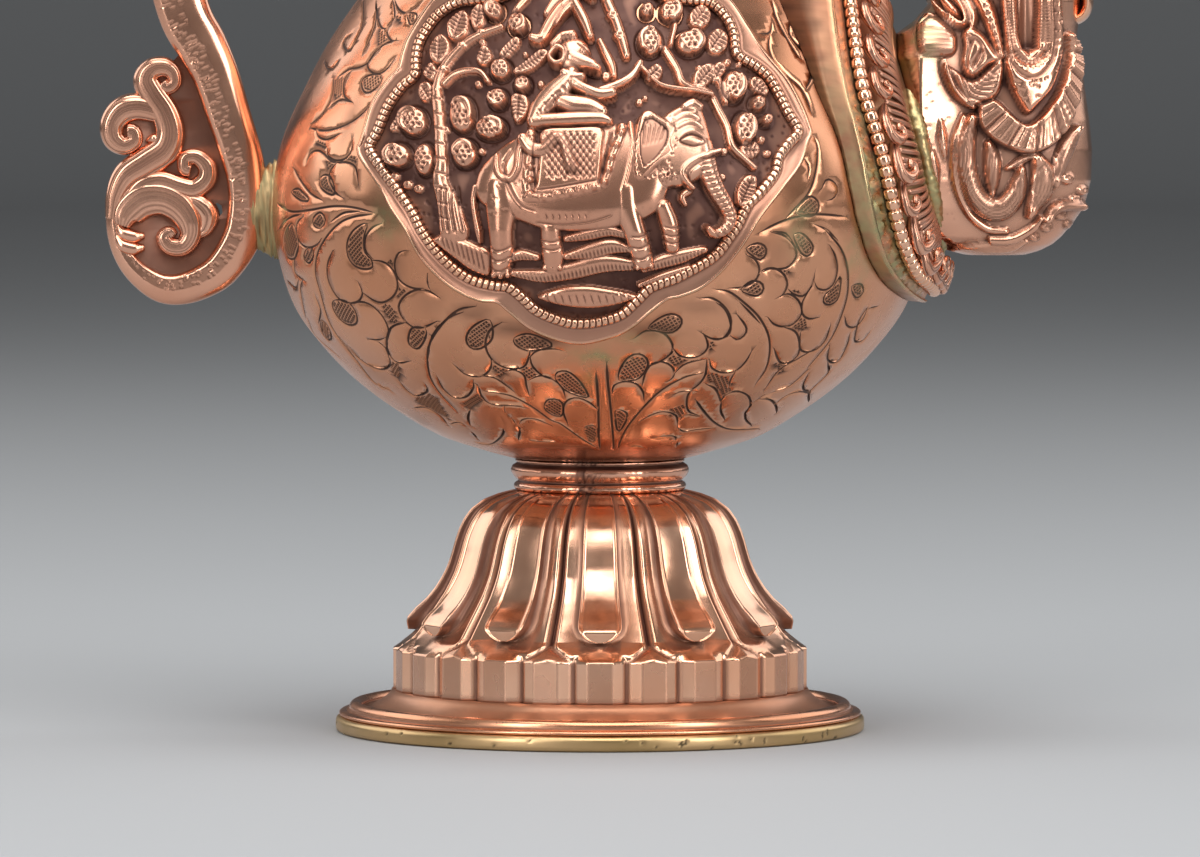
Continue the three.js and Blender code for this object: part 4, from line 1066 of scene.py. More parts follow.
def fruit(r, x, y, rx, ry, rise, rng, curl):
    """A round fruit with punched dots, and a smooth crescent on one side."""
    r.ball(x, y, rx, ry, rise + 0.3, 0.1)
    around = [(x + (rx + 1) * math.cos(a), y + (ry + 1) * math.sin(a)) for a in np.arange(8) * TAU / 8]
    r.groove(around, 0.5, 1.5, 0.9, closed=True)
    if curl is not None:
        a0 = math.radians(curl)
        crescent = []
        for turn, fullness in ((-1.5, 0.5), (-0.9, 1), (0, 1.2), (0.9, 1), (1.5, 0.5)):
            away = 0.72 * rx * math.cos(a0 + turn), 0.72 * ry * math.sin(a0 + turn)
            crescent.append((x + away[0], y + away[1], 0.26 * min(rx, ry) * fullness))
        r.rod(crescent, rise + 0.25, foot=rise * 0.7)
    for row in range(-4, 5):
        for column in range(-4, 5):
            u = HOLE_PITCH * (column + 0.5 * (row % 2)) + rng.uniform(-0.5, 0.5)
            v = HOLE_PITCH * 0.87 * row + rng.uniform(-0.5, 0.5)
            if (u / rx) ** 2 + (v / ry) ** 2 > 0.45:
                continue
            if curl is not None and u * math.cos(a0) / rx + v * math.sin(a0) / ry > 0.3:
                continue
            r.pit(x + u, y + v, 1.6, 0.6, 1.0)


TREE = """
rod 1.7 0.4 434,86,5 435,100,6 437,120,6 438,140,6 439,160,6.5 438,180,8 446,205,11 452,232,15
comb 9 0.4 1 0.6 431,96,0.6,15 441,99,1,15
comb 4 0.45 1 0.6 440,186,5,0 439,208,6,0 441,232,7,0
rod 1.8 0.4 434,88,5 437,76,4.5 444,62,4.5 456,48,4 468,38,4 484,30,3.6 500,25,3
ball 5.5 4 2.1 0.4 441,68 460,44 480,31
rod 1.7 0.4 442,82,4 452,73,4 464,69,4 478,70,3.6 487,80,3
rod 2 0.4 604,-40,4 603,-20,5 608,0,6 616,18,6 622,36,6 627,54,5
ball 7.5 5 2.4 0.4 606,-8 613,14 620,34
pit 1.6 0.6 0.7 606,-8 613,14 620,34
rod 1.8 0.4 664,46,4 670,54,4.5 678,67,4.5 683,80,4.5 695,87,4 710,91,4 720,108,4 728,124,4 733,144,4
  743,155,3.6 756,167,3
rod 1.6 0.4 700,66,3 714,72,4 724,84,4 728,100,3
rod 1.7 0.4 632,-30,4 650,-16,4 668,-2,4 676,20,3.5 672,42,3
rod 1.7 0.4 540,-24,4 528,-8,4 516,6,3.5 508,20,3
"""
LEAVES = """
leaf 1.6 446,36 444,22 452,12 462,8 467,16 465,30 456,38 451,36 461,10
leaf 1.6 428,58 427,44 434,34 441,32 448,42 446,54 438,62 436,60 437,35
leaf 1.6 468,18 469,8 478,1 485,9 481,22 472,27 474,25 478,3
leaf 1.5 421,68 429,60 435,69 431,79 422,76 423,74 431,63
leaf 1.4 417,82 427,80 430,92 424,100 416,96 419,84 427,97
leaf 1.5 474,58 479,44 487,45 491,58 482,64 480,62 484,46
leaf 1.6 497,54 501,45 514,34 520,40 511,52 502,58 500,56 517,38
leaf 1.7 511,70 522,60 540,47 549,52 538,64 520,74 514,70 545,51
leaf 1.6 510,94 519,91 528,97 527,112 516,122 510,110 518,93 516,118
leaf 1.6 506,-12 514,-20 528,-26 536,-18 526,-8 512,-4 508,-8 534,-22
leaf 1.6 690,20 693,8 704,2 713,10 711,22 700,27 694,22 708,6
leaf 1.6 709,46 710,34 720,26 730,34 728,48 717,53 712,48 725,30
leaf 1.7 694,84 695,72 706,62 717,64 714,78 703,88 697,84 714,66
leaf 1.5 717,62 726,60 728,70 720,78 714,80 717,77 724,63
leaf 1.7 738,204 739,186 748,174 758,176 757,192 748,206 742,204 753,178
leaf 1.4 742,146 748,138 758,140 762,150 754,158 745,156 744,148 760,150
leaf 1.6 634,-34 646,-34 656,-24 650,-14 638,-18 636,-32 654,-18
leaf 1.6 560,-36 574,-38 586,-30 578,-20 564,-24 562,-32 582,-26
leaf 1.3 752,84 756,74 766,78 772,90 764,94 754,78 768,92
leaf 1.2 386,128 392,114 400,104 404,112 396,128 389,126 402,108
"""
MOUNDS = """
mound 1.5 6 0.3 430,240 442,234 458,238 474,244 489,253 488,276 470,272 452,259 438,248
comb 9 0.35 0.9 0.6 440,236,5,2 444,248,5,3
"""
LENS = """
mound 1.8 7 0.4 536,298 556,289 580,286 602,288 638,296 622,305 592,310 560,307
comb 12 0.3 0.9 0.55 546,294,7.4,0 549,304,7.4,0
"""
ELEPHANT = """
rod 1.9 0.4 549,226,10 550,240,10.5 552,256,11 552,266,10
comb 2 0.35 1.2 0.6 540,240,0,8 551,242,0,8 562,240,0,8
ball 3.6 3.4 2.1 0.4 544,268 552,268 560,268
rod 2.2 0.4 664,206,9 670,222,10 672,234,9 673,246,8
groove 0.35 1.1 0.6 664,226 673,228 682,226
groove 0.35 1.1 0.6 664,234 673,236 682,234
groove 0.35 1.1 0.6 664,241 673,243 682,241
mound 2.6 22 0.6 474,192 477,172 488,157 508,140 530,131 570,126 612,122 640,122 662,136 672,170 664,202
  650,216 622,226 580,231 546,229 522,222 502,214 484,206
rod 2.9 0.5 498,186,15 500,206,16 500,230,13 501,250,12 500,268,10
comb 3 0.4 1.3 0.6 490,247,0,10 500,250,0,10 512,246,0,10
ball 3.8 4.4 2.9 0.4 494,274 501,275 508,274
rod 1.8 0.4 474,186,3 472,200,3 474,216,3 477,232,3.4 479,242,2
rod 2.9 0.5 626,190,14 628,210,14 634,228,12 640,246,11.5 643,260,11
comb 3 0.4 1.3 0.6 630,236,0,11 641,236,0,11 652,231,0,11
ball 3.6 4 2.8 0.4 637,267 644,266 651,265
groove 0.35 1.4 0.5 512,150 505,168 512,190 522,205 536,211
groove 0.3 1.2 0.4 536,222 560,224 590,221 612,214
comb 7 0.3 0.9 0.6 546,213,6.5,0 548,219,6.5,0
"""
ELEPHANT_HEAD = """
mound 3.1 15 0.6 652,128 664,114 680,104 698,101 706,116 712,138 716,154 708,172 690,184 668,186 652,170
  646,148
groove 0.35 1.2 0.6 672,118 682,112 694,113
groove 0.35 1.2 0.6 672,125 684,119 698,121
groove 0.35 1.2 0.6 676,131 688,126 702,130
rod 3.3 2.2 684,108,4 692,104,4.5 699,108,4
rod 3.4 2.3 677,141,2.6 684,134,3 693,133,3 701,139,2.6
mound 3.2 4 2 679,142 688,136 698,138 703,144 692,147
loop 0.5 1.1 0.95 679,142 688,136 698,138 703,144 692,147
mound 3.3 6 1.2 634,132 638,117 648,110 662,117 678,128 673,143 675,154 658,167 644,180 634,179 631,156
"""
EAR_FOLDS = """
comb 5 0.3 1.2 0.5 645,126,5,0 643,146,4,-1
"""
CHEEK = """
ball 13 13 3 0.8 667,175
"""
TUSK = """
rod 3.4 1.4 719,151,3 702,156,4 688,163,4.5 681,172,4.5 685,181,4 692,188,3
groove 0.4 1.1 0.7 716,156 702,161 692,167 687,173 689,180
rod 1.8 0.5 690,190,5 683,196,4 686,204,3
"""
CLOTH_BORDERS = """
rod 3 1.6 531,134,5.5 530,150,5.5 528,170,6 527,186,6 530,198,5.5
rod 3.2 1.6 528,197,6 545,197,6.5 560,194,6.5 580,190,6.5 597,186,6
rod 3.1 1.6 622,128,5.5 618,142,6 612,155,6 608,170,6 603,184,5.5
"""
CLOTH_SEAMS = """
groove 0.4 1.1 0.8 537,134 534,160 536,188
groove 0.4 1.1 0.8 538,190 560,187 598,180
groove 0.5 1.5 0.8 612,131 607,150 602,176
rod 2.9 1.8 630,124,3 632,145,3 628,168,3 622,190,3
"""
CRUPPER = """
rod 3.3 1.6 498,156,3 498,168,4 503,177,4 512,178,4 518,168,4 520,152,4 525,138,4
rod 4 2.6 524,140,6 532,149,7 544,150,6.5 556,139,6 564,142,6 568,156,6 572,166,7
ball 8.5 6.5 4 2.4 573,168
comb 3 0.4 0.9 0.6 568,168,4,0 567,175,4,0
"""
MONKEY = """
rod 3.5 1.2 534,122,8 546,121,8 562,120,8 580,119,8 600,119,7 609,122,5
rod 3.6 1.2 533,121,7 540,108,10 552,95,12 564,84,11 572,74,8
rod 3.4 1.2 560,100,9 574,104,10 590,106,9 602,112,7
rod 3.7 1.4 574,84,6.5 586,90,6 600,95,6.5 612,94,6
rod 3.2 1 588,94,4.5 604,90,5 620,84,5 632,76,5 640,64,4.5
groove 0.4 1.3 0.6 546,112 560,98 574,96
groove 0.4 1.4 0.7 540,128 570,127 600,126
"""
MONKEY_HEAD = """
ball 18 19 3.5 0.8 573,55
rod 3.8 1.6 572,58,9 582,62,8 592,66,6 598,70,4
rod 3.4 1.2 572,36,6 562,38,5 553,46,4
ring 3.7 1.8 557,49,3 564,53,3 563,62,3 556,65,3 550,58,3
pit 3.4 0.9 0.9 557,57
groove 0.4 1.1 0.7 578,46 585,50 592,56
ball 3.4 2.6 3.9 3 583,54
pit 1.2 0.4 0.9 584,54
groove 0.5 1.2 0.9 584,70 592,73 598,74
pit 1.2 0.4 0.8 597,66
rod 3.6 1.4 564,74,5 572,78,6 582,78,5
comb 6 0.2 0.9 0.35 561,38,4,-0.5 563,45,4,-1
"""
GOAD = """
rod 2.9 0.8 640,66,2.6 648,74,3 660,85,3 676,89,3 694,91,3 712,95,2.6
leaf 2.1 646,80 648,68 658,62 664,70 658,82 648,78 660,66
"""
HARE = """
rod 3 0.8 532,38,5 541,38,6 550,23,7 560,10,7.5 572,0,7
rod 2.9 0.8 574,2,6 584,20,6.5 590,36,5
rod 2.7 0.8 546,14,4 554,2,5 566,-10,7 582,-12,7 592,-4,5
rod 2 0.5 600,40,4 606,52,5 612,64,5 614,74,4
groove 0.35 1 0.6 544,36 552,22 562,8
groove 0.35 1 0.6 554,26 562,12 572,2
"""
CURLS = [
    (480, 40, 4), (606, 74, 5), (640, 100, 4), (646, 96, 3), (730, 60, 4), (742, 62, 3), (392, 176, 5),
    (405, 184, 5), (416, 188, 5), (764, 138, 4), (770, 152, 4), (724, 176, 4), (726, 150, 4), (476, 82, 4),
    (524, 52, 3), (540, 82, 4), (444, 128, 4), (480, 150, 4),
]
FRUITS = [
    (492, 8, 9.5, 9.5, 200), (516, 22, 10.5, 10.5, 20), (499, 67, 11, 11, None), (521, 82, 8.5, 8.5, 60),
    (496, 96, 10, 10, 120), (410, 119, 14, 15, 210), (395, 154, 13, 13, 190), (422, 158, 10, 17, None),
    (460, 112, 13, 19, 300), (489, 126, 16, 12, 330), (463, 152, 13, 15, 260), (672, 9, 12, 11, 20),
    (651, 39, 13, 15, 200), (692, 40, 15, 13, 0), (736, 84, 12, 16, 30), (761, 101, 8, 8, None),
    (769, 118, 6, 6, None), (747, 126, 11, 17, 20), (560, -12, 9, 9, None), (620, -22, 10, 10, 200),
    (648, 8, 8, 8, None),
]
RIDGES = [
    [(566, 239, 4), (588, 235, 6), (610, 231, 6), (628, 236, 4)],
    [(566, 257, 4), (590, 252, 8), (612, 247, 8), (630, 250, 4)],
    [(512, 274, 4), (540, 277, 7), (572, 272, 9), (604, 265, 9), (636, 266, 6)],
    [(644, 270, 4), (662, 263, 7), (684, 257, 7), (706, 250, 4)],
    [(506, 262, 3), (518, 256, 6), (536, 258, 4)],
    [(640, 286, 3), (664, 278, 5), (690, 268, 3)],
]
EAR_HOLLOW = [
    (640, 134), (644, 121), (652, 119), (664, 127), (669, 134), (665, 146), (656, 158), (643, 168),
    (639, 152),
]
TRUNK = [
    (703, 146, 11), (706, 160, 11), (710, 174, 10.5), (717, 190, 9.5), (725, 204, 8.5), (730, 217, 7.5),
    (725, 228, 7), (714, 233, 6), (708, 228, 4.5),
]
CLOTH_BOSSES = [
    (533, 140), (533, 153), (532, 167), (531, 180), (531, 194), (545, 197), (558, 194), (571, 192),
    (583, 189), (594, 187), (621, 134), (616, 146), (611, 158), (608, 170), (604, 182),
]
CLOTH = [
    (536, 194), (537, 180), (540, 150), (543, 131), (572, 128), (602, 129), (603, 150), (600, 180),
    (599, 188), (570, 193),
]


def picture():
    """An elephant with a monkey on its back and a hare above, under a fruit tree."""
    r = Relief(LEFT, TOP, RIGHT, BOTTOM, 1.0)
    rng = random.Random(8)
    # Punched ground
    for _ in range(1500):
        r.pit(rng.uniform(370, 800), rng.uniform(-50, 325), 1.6, 0.14, 0.15)
    # Tree: left trunk with its branches, and the right branches
    r.draw(TREE)
    # Leaves
    r.draw(LEAVES)
    # Fruits
    for x, y, rx, ry, curl in FRUITS:
        fruit(r, x, y, rx, ry, 2.3, rng, curl)
    # Ground: mounds, striped hills and the lens at the bottom
    r.draw(MOUNDS)
    for ridge in RIDGES:
        r.rod(ridge, 1.5, 0.3)
        path = spline(ridge, 4.2)
        for x, y, half in path[1:-1]:
            r.groove([(x - 0.5, y - 0.1 * half), (x + 1, y + 0.8 * half)], 0.4, 1.0, dark=0.8)
    r.draw(LENS)
    # Elephant: far legs, body, near legs
    r.draw(ELEPHANT)
    for k in range(26):
        x, y = rng.uniform(484, 530), rng.uniform(160, 214)
        r.groove([(x, y), (x + 3, y + 1.5)], 0.12, 0.8, dark=0.2)
    # Head, ear, tusk and trunk
    r.draw(ELEPHANT_HEAD)
    r.mound(EAR_HOLLOW, 2.9, 0.1, 2.9)
    area, x, y = r.window(np.array([(640, 120), (668, 168)]), 0)
    within = inside(np.stack([x.ravel(), y.ravel()], -1), np.array(EAR_HOLLOW)).reshape(x.shape)
    r.height[area] = np.where(within, 2.55, r.height[area])
    # Patina and painted shade in the ear's hollow
    r.dark[area] = np.where(within, 0.35, r.dark[area])
    r.draw(EAR_FOLDS)
    for k in range(26):
        a = TAU * k / 26
        x = 655 + 20 * math.cos(a) - 4 * math.sin(a)
        y = 146 + 31 * math.sin(a) - 6 * math.cos(a)
        r.pit(x, y, 0.9, 0.3, 0.5)
    r.draw(CHEEK)
    for _ in range(24):
        a, s = rng.uniform(0, TAU), rng.uniform(0, 10)
        r.pit(667 + s * math.cos(a), 175 + s * math.sin(a), 1.0, 0.3, 0.6)
    r.rod(TRUNK, 3.3, 0.7)
    path = spline(TRUNK, 3.2)
    along = tangents(path[:, :2])
    for k in range(4, len(path) - 3, 2):
        side = np.array([-along[k, 1], along[k, 0]]) * path[k, 2] * 0.8
        r.groove([path[k, :2] - side, path[k, :2] + along[k] * 1.5, path[k, :2] + side], 0.32, 1.0, dark=0.55)
    r.draw(TUSK)
    # Saddle cloth with its lattice, borders and bosses
    r.mound(CLOTH, 3.25, 4, 1.8)
    for k in range(-9, 14):
        a, b = [], []
        for s in np.linspace(0, 1, 18):
            y = 134 + 46 * s
            a.append((CLEAR_LEFT + 6.2 * k + 34 * s, y))
            b.append((CLEAR_LEFT + 6.2 * k + 34 * (1 - s), y))
        for diagonal in (a, b):
            kept = [p for p in diagonal if CLEAR_LEFT < p[0] < CLEAR_RIGHT]
            if len(kept) > 2:
                r.groove(kept[::2] if len(kept) > 4 else kept, 0.3, 0.9, dark=0.75)
    r.draw(CLOTH_BORDERS)
    for x, y in CLOTH_BOSSES:
        r.ball(x, y, 3.6, 3.6, 3.7, 2.6)
        r.groove([(x - 6.5, y - 3), (x - 5, y + 4)], 0.25, 0.8, dark=0.5)
    r.draw(CLOTH_SEAMS)
    # Crupper and the monkey's second leg
    r.draw(CRUPPER)
    # Monkey: hip, thigh, lower leg, body, arms, head
    r.draw(MONKEY)
    for k in range(14):
        x, y = 538 + 2.6 * k + rng.uniform(-2, 2), 116 - 2.6 * k + rng.uniform(-4, 4)
        r.groove([(x, y), (x + 4, y + 4)], 0.16, 0.9, dark=0.3)
    r.draw(MONKEY_HEAD)
    # Goad and the leaf in the monkey's hand
    r.draw(GOAD)
    # Hare above the monkey
    r.draw(HARE)
    # Small curls that fill the ground between the tree and the frame
    for x, y, size in CURLS:
        r.ball(x, y, size, size, 1.3, 0.3)
        r.pit(x, y, size * 0.3, 0.3, 0.7)
    return r


def front_and_back(label, node, points, faces, slot, tarnish, **more):
    """A piece in front, and the same piece after half a turn about the axis."""
    for side, way in (("front", 1), ("back", -1)):
        make_mesh(
            f"{side}_{label}", points * [way, way, 1], faces, slot,
            nodes=(f"{side}_{node}",), tarnish=tarnish, **more,
        )


def relief_panels():
    """The panel in front, cut out along the rope's line, and the same panel behind."""
    r = picture()
    # A little tarnish everywhere, with patina and painted shade darker in recesses and on the low ground
    # between the figures
    recess = np.clip(0.12 + r.recess() + np.clip((0.8 - r.height) * 0.9, 0, 0.72), 0, 1)
    x, y = np.meshgrid(r.x, r.y)
    rope = spline(ROPE_LINE, 2.0, closed=True)
    within = inside(np.stack([x.ravel(), y.ravel()], -1), rope).reshape(x.shape)
    height = RELIEF_FLOOR + np.clip(r.height, -0.6, 4.2) * 0.78
    height = np.where(within, np.minimum(height, 4.3), RELIEF_FLOOR)
    index = -np.ones(x.shape, int)
    quad = within[:-1, :-1] & within[1:, :-1] & within[:-1, 1:] & within[1:, 1:]
    used = np.zeros(x.shape, bool)
    for a, b in ((0, 0), (1, 0), (0, 1), (1, 1)):
        used[a : a + quad.shape[0], b : b + quad.shape[1]] |= quad
    index[used] = np.arange(used.sum())
    points = relief_point(x[used], y[used], height[used])
    i, j = np.nonzero(quad)
    faces = np.stack([index[i, j], index[i + 1, j], index[i + 1, j + 1], index[i, j + 1]], -1)
    count = len(points)
    edges = np.vstack([faces[:, [0, 1]], faces[:, [1, 2]], faces[:, [2, 3]], faces[:, [3, 0]]])
    forward = set(map(tuple, edges))
    rim = np.array([e for e in forward if (e[1], e[0]) not in forward])
    rim_points = np.unique(rim)
    low = relief_point(x[used][rim_points], y[used][rim_points], np.full(len(rim_points), 0.35))
    lower = {p: count + k for k, p in enumerate(rim_points)}
    wall = np.array([(b, a, lower[a], lower[b]) for a, b in rim])
    centre = count + len(low)
    base = relief_point(MIDDLE[:1], MIDDLE[1:], [0.35])
    fan = np.array([(lower[b], lower[a], centre) for a, b in rim])
    points = np.vstack([points, low, base])
    dark = np.concatenate([recess[used], np.full(len(low) + 1, 0.8)])
    front_and_back("relief", "relief_panel", points, [np.vstack([faces, wall]), fan], "cast_copper", dark)


def widened(ring, by):
    """A ring of pixels moved outwards by so many pixels."""
    side = tangents(ring, closed=True)[:, ::-1] * [1, -1]
    return ring + by * side


# Section of the band from its outer edge to its inner one under the rope: which line it follows,
# pixels outside that line, millimetres above the belly, darkness (tarnish, and painted shade beside and under
# the rope) and the yellow of the brazed lip
BAND_SECTION = [
    ("edge", 1.4, -0.4, 0.6, 0.3), ("edge", 1.7, 0.4, 0.1, 0.5), ("edge", 1.2, 1.05, 0.0, 0.45),
    ("edge", 0.2, 1.25, 0.0, 0.35), ("edge", -0.9, 1.1, 0.1, 0.1), ("edge", -1.9, 0.95, 0.45, 0.0),
    ("rope", 6.8, 0.85, 0.5, 0.0), ("rope", 5.4, 0.8, 0.45, 0.0), ("rope", 4, 0.7, 0.8, 0.0),
    ("rope", 2.5, 0.6, 1.0, 0.0), ("rope", -1.5, 0.6, 1.0, 0.0), ("rope", -4.5, 0.8, 1.0, 0.0),
    ("rope", -5.8, 1.1, 0.6, 0.0), ("rope", -6.8, 0.9, 0.8, 0.0), ("rope", -7.4, 0.4, 1.0, 0.0),
    ("rope", 2.5, 0.3, 1.0, 0.0),
]
STRANDS = 196
STRAND_RADIUS = 0.92
STRAND_OFFSET = -1.5


def frame_bands():
    """The band round the relief: a golden lip, a smooth dark slope and the seat of the rope."""
    count = 1500
    lines = {"edge": by_angle(FRAME_EDGE, count), "rope": by_angle(ROPE_LINE, count)}
    rows = []
    for line, offset, lift, _, _ in BAND_SECTION:
        at = widened(lines[line], offset)
        rows.append(relief_point(at[:, 0], at[:, 1], np.full(count, lift), max(lift, 0)))
    points = np.array(rows)
    dark = np.repeat([part[3] for part in BAND_SECTION], count)
    gold = np.repeat([part[4] for part in BAND_SECTION], count)
    faces = grid_faces(len(BAND_SECTION), count, close_rows=True)[:, ::-1]
    points = points.reshape(-1, 3)
    front_and_back("frame", "medallion_band", points, [faces], "cast_copper", dark, stain=gold)


def frame_ropes():
    """Twisted wire inside the band."""
    count = 12 * STRANDS
    ring = even(by_angle(ROPE_LINE, count), count, closed=True)
    path = even(widened(ring, STRAND_OFFSET), count, closed=True)
    height = 1.55
    line = relief_point(path[:, 0], path[:, 1], np.full(count, height), height)
    above = relief_point(path[:, 0], path[:, 1], np.full(count, height + 1), height)
    sides = 14
    turn = np.arange(sides) * TAU / sides
    run = np.arange(count) / count * STRANDS * TAU
    twist = 0.5 + 0.5 * np.cos(run[:, None] + 1.1 * np.sin(turn)[None] + 0.9 * np.cos(turn)[None])
    cut = np.exp(-(((1 - twist) / 0.16) ** 2))
    points = wire(line, unit(above - line), STRAND_RADIUS * (1 - 0.3 * cut)).reshape(-1, 3)
    faces = grid_faces(count, sides, close_rows=True)
    # Patina and painted shade in the twist between strands, and painted shade on the side of the wire that
    # faces the band
    dark = np.clip(1.1 * cut + 0.15 * (np.sin(turn)[None] < 0.2), 0, 1)
    front_and_back("rope", "medallion_rope", points, [faces], "polished_copper", dark)


relief_panels()
frame_bands()
frame_ropes()


# Foot: pitted brass ring, flange with a bead, fluted pedestal, collar

FLUTES = 12
FACET_RADIUS = 36.0
PLEAT_RADIUS = 32.4
FACET_TOP = 14.3
APEX = 17.0
TONGUE_END = 17.5
TONGUE_BEND = 3.3
TONGUE_HALF = 6.7
TONGUE_LIP = 0.9
PIT_REACH = 0.42
PEDESTAL_INSIDE = [(11, 41.8), (13.5, 39), (20, 36), (23, 28), (29, 18), (31.5, 12), (31.5, 7.3)]
TONGUE_LINE = [
    (17.5, 33.1), (19.3, 33.5), (19.6, 33.35), (21, 32.1), (22.7, 30.2), (24.5, 28.7), (26.2, 27.6),
    (27.9, 26.7), (29.7, 26), (31.4, 25.5), (33.2, 25), (34.9, 24.4), (36.6, 23.6), (38.4, 22.3),
    (40.1, 20.0), (41.2, 17.2), (41.8, 14.8),
]
FLANK_LINE = [
    (14.3, 36), (15.4, 34.4), (16.4, 33.4), (17.5, 32.2), (19.3, 30.9), (21, 29.7), (22.7, 28.5),
    (24.5, 27.3), (26.2, 26.4), (27.9, 25.6), (29.7, 25), (31.4, 24.5), (33.2, 24), (34.9, 23.4),
    (36.6, 22.6), (38.4, 21.4), (40.1, 19.2), (41.2, 16.6), (41.8, 14.4),
]


def pitted(points, lift, tarnish, spots, rng):
    """Small casting pits sunk into a lathe's outer rows."""
    flat = points.reshape(-1, 3)
    for _ in range(spots):
        at = flat[rng.randrange(len(flat))]
        size = PIT_REACH * rng.uniform(0.4, 1.0)
        away = np.linalg.norm(flat - at, axis=1)
        hit = away < size
        lift[hit] = np.minimum(lift[hit], -0.28 * (1 - (away[hit] / size) ** 2))
        tarnish[hit] = 1


def foot_ring_piece():
    rng = random.Random(5)
    profile = [
        (33, 0.4), (33.4, 0), (44.9, 0), (45.6, 0.12), (45.95, 0.45), (46, 0.9), (46, 1.25), (46, 1.6),
        (45.97, 1.95), (45.85, 2.3), (45.5, 2.6), (45.1, 2.7), (33, 2.7),
    ]
    sides = 720
    points, angle = lathe(profile, sides)
    lift = np.zeros(len(profile) * sides)
    tarnish = np.zeros(len(profile) * sides)
    outer = slice(4 * sides, 10 * sides)
    part_lift, part_tarnish = lift[outer].copy(), tarnish[outer].copy()
    pitted(points[4:10], part_lift, part_tarnish, 62, rng)
    lift[outer], tarnish[outer] = part_lift, part_tarnish
    points = points + lift.reshape(len(profile), sides, 1) * outward(angle)
    turned_piece("brass_foot_ring", points, "brass_metal", nodes=("foot_ring",), tarnish=tarnish)


def arc(centre, radius, start, end, steps):
    """Profile points on a circle, from one angle to another, in degrees."""
    angle = np.radians(np.linspace(start, end, steps))
    return [(centre[0] + radius * math.cos(a), centre[1] + radius * math.sin(a)) for a in angle]


def foot_flange_piece():
    profile = [(33, 2.75), (45.1, 2.75), (45.4, 2.95), (45.4, 3.25), (45.1, 3.5), (44.2, 3.62), (43.7, 3.7)]
    profile += arc((42.5, 4.05), 1.15, -10, 190, 13)
    profile += [
        (41.1, 3.95), (40.6, 4.0), (39.8, 4.3), (38.6, 4.9), (37.4, 5.7), (36.6, 6.5), (36.2, 7.25),
        (33, 7.25),
    ]
    # Patina and painted shade in the creases on each side of the bead and where the flange meets the pedestal
    depth = np.zeros(len(profile))
    depth[6:8] = 0.7
    depth[19:23] = 0.8
    depth[23:] = 0.35
    sides = 360
    points, _ = lathe(profile, sides)
    turned_piece("flange", points, "raised_copper", nodes=("foot_flange",), tarnish=np.repeat(depth, sides))


def stem_collar_piece():
    profile = [(11.5, 41.85), (14.4, 41.85)]
    profile += arc((14.2, 42.6), 0.75, -60, 75, 8)
    profile += [
        (14.15, 43.55), (14.5, 43.8), (15.0, 44.3), (15.4, 45), (15.45, 45.5), (15.2, 46.1), (14.6, 46.5),
        (14.3, 46.65), (14.6, 46.85), (14.7, 47.1), (14.4, 47.4), (11.5, 47.4),
    ]
    # Patina and painted shade in the collar's two grooves
    depth = np.zeros(len(profile))
    depth[9:11] = 1
    depth[15:18] = 1
    rng = random.Random(9)
    sides = 240
    points, angle = lathe(profile, sides)
    flat = points.reshape(-1, 3)
    tarnish = np.repeat(depth, sides)
    front = np.exp(-((np.arctan2(flat[:, 0], -flat[:, 1]) + 0.16) / 0.16) ** 2)
    noise = np.array([rng.random() for _ in flat])
    tarnish = np.clip(tarnish + front * noise * 1.6, 0, 1)
    wave = (noise.reshape(len(profile), sides) - 0.5) * 0.12 - 0.12 * front.reshape(len(profile), sides)
    points = points + wave[..., None] * outward(angle)
    turned_piece("collar_ring", points, "cast_copper", nodes=("stem_collar",), tarnish=tarnish)


def pedestal_levels():
    """Heights of the section's rows, closer together where the tongues begin and the neck narrows."""
    levels = [
        7.3, 7.6, 8.4, 10, 11.8, 13, 13.5, 13.9, 14.1, 14.3, 14.6, 15, 15.4, 15.8, 16.2, 16.6, 17, 17.3,
        17.47, 17.55, 17.65, 17.8, 18, 18.25, 18.5, 18.8, 19.1, 19.4, 19.7, 20, 20.3, 20.6, 21,
    ]
    return np.concatenate([levels, np.arange(21.5, 39, 0.55), np.arange(39, 41.6, 0.3), [41.7, 41.8]])


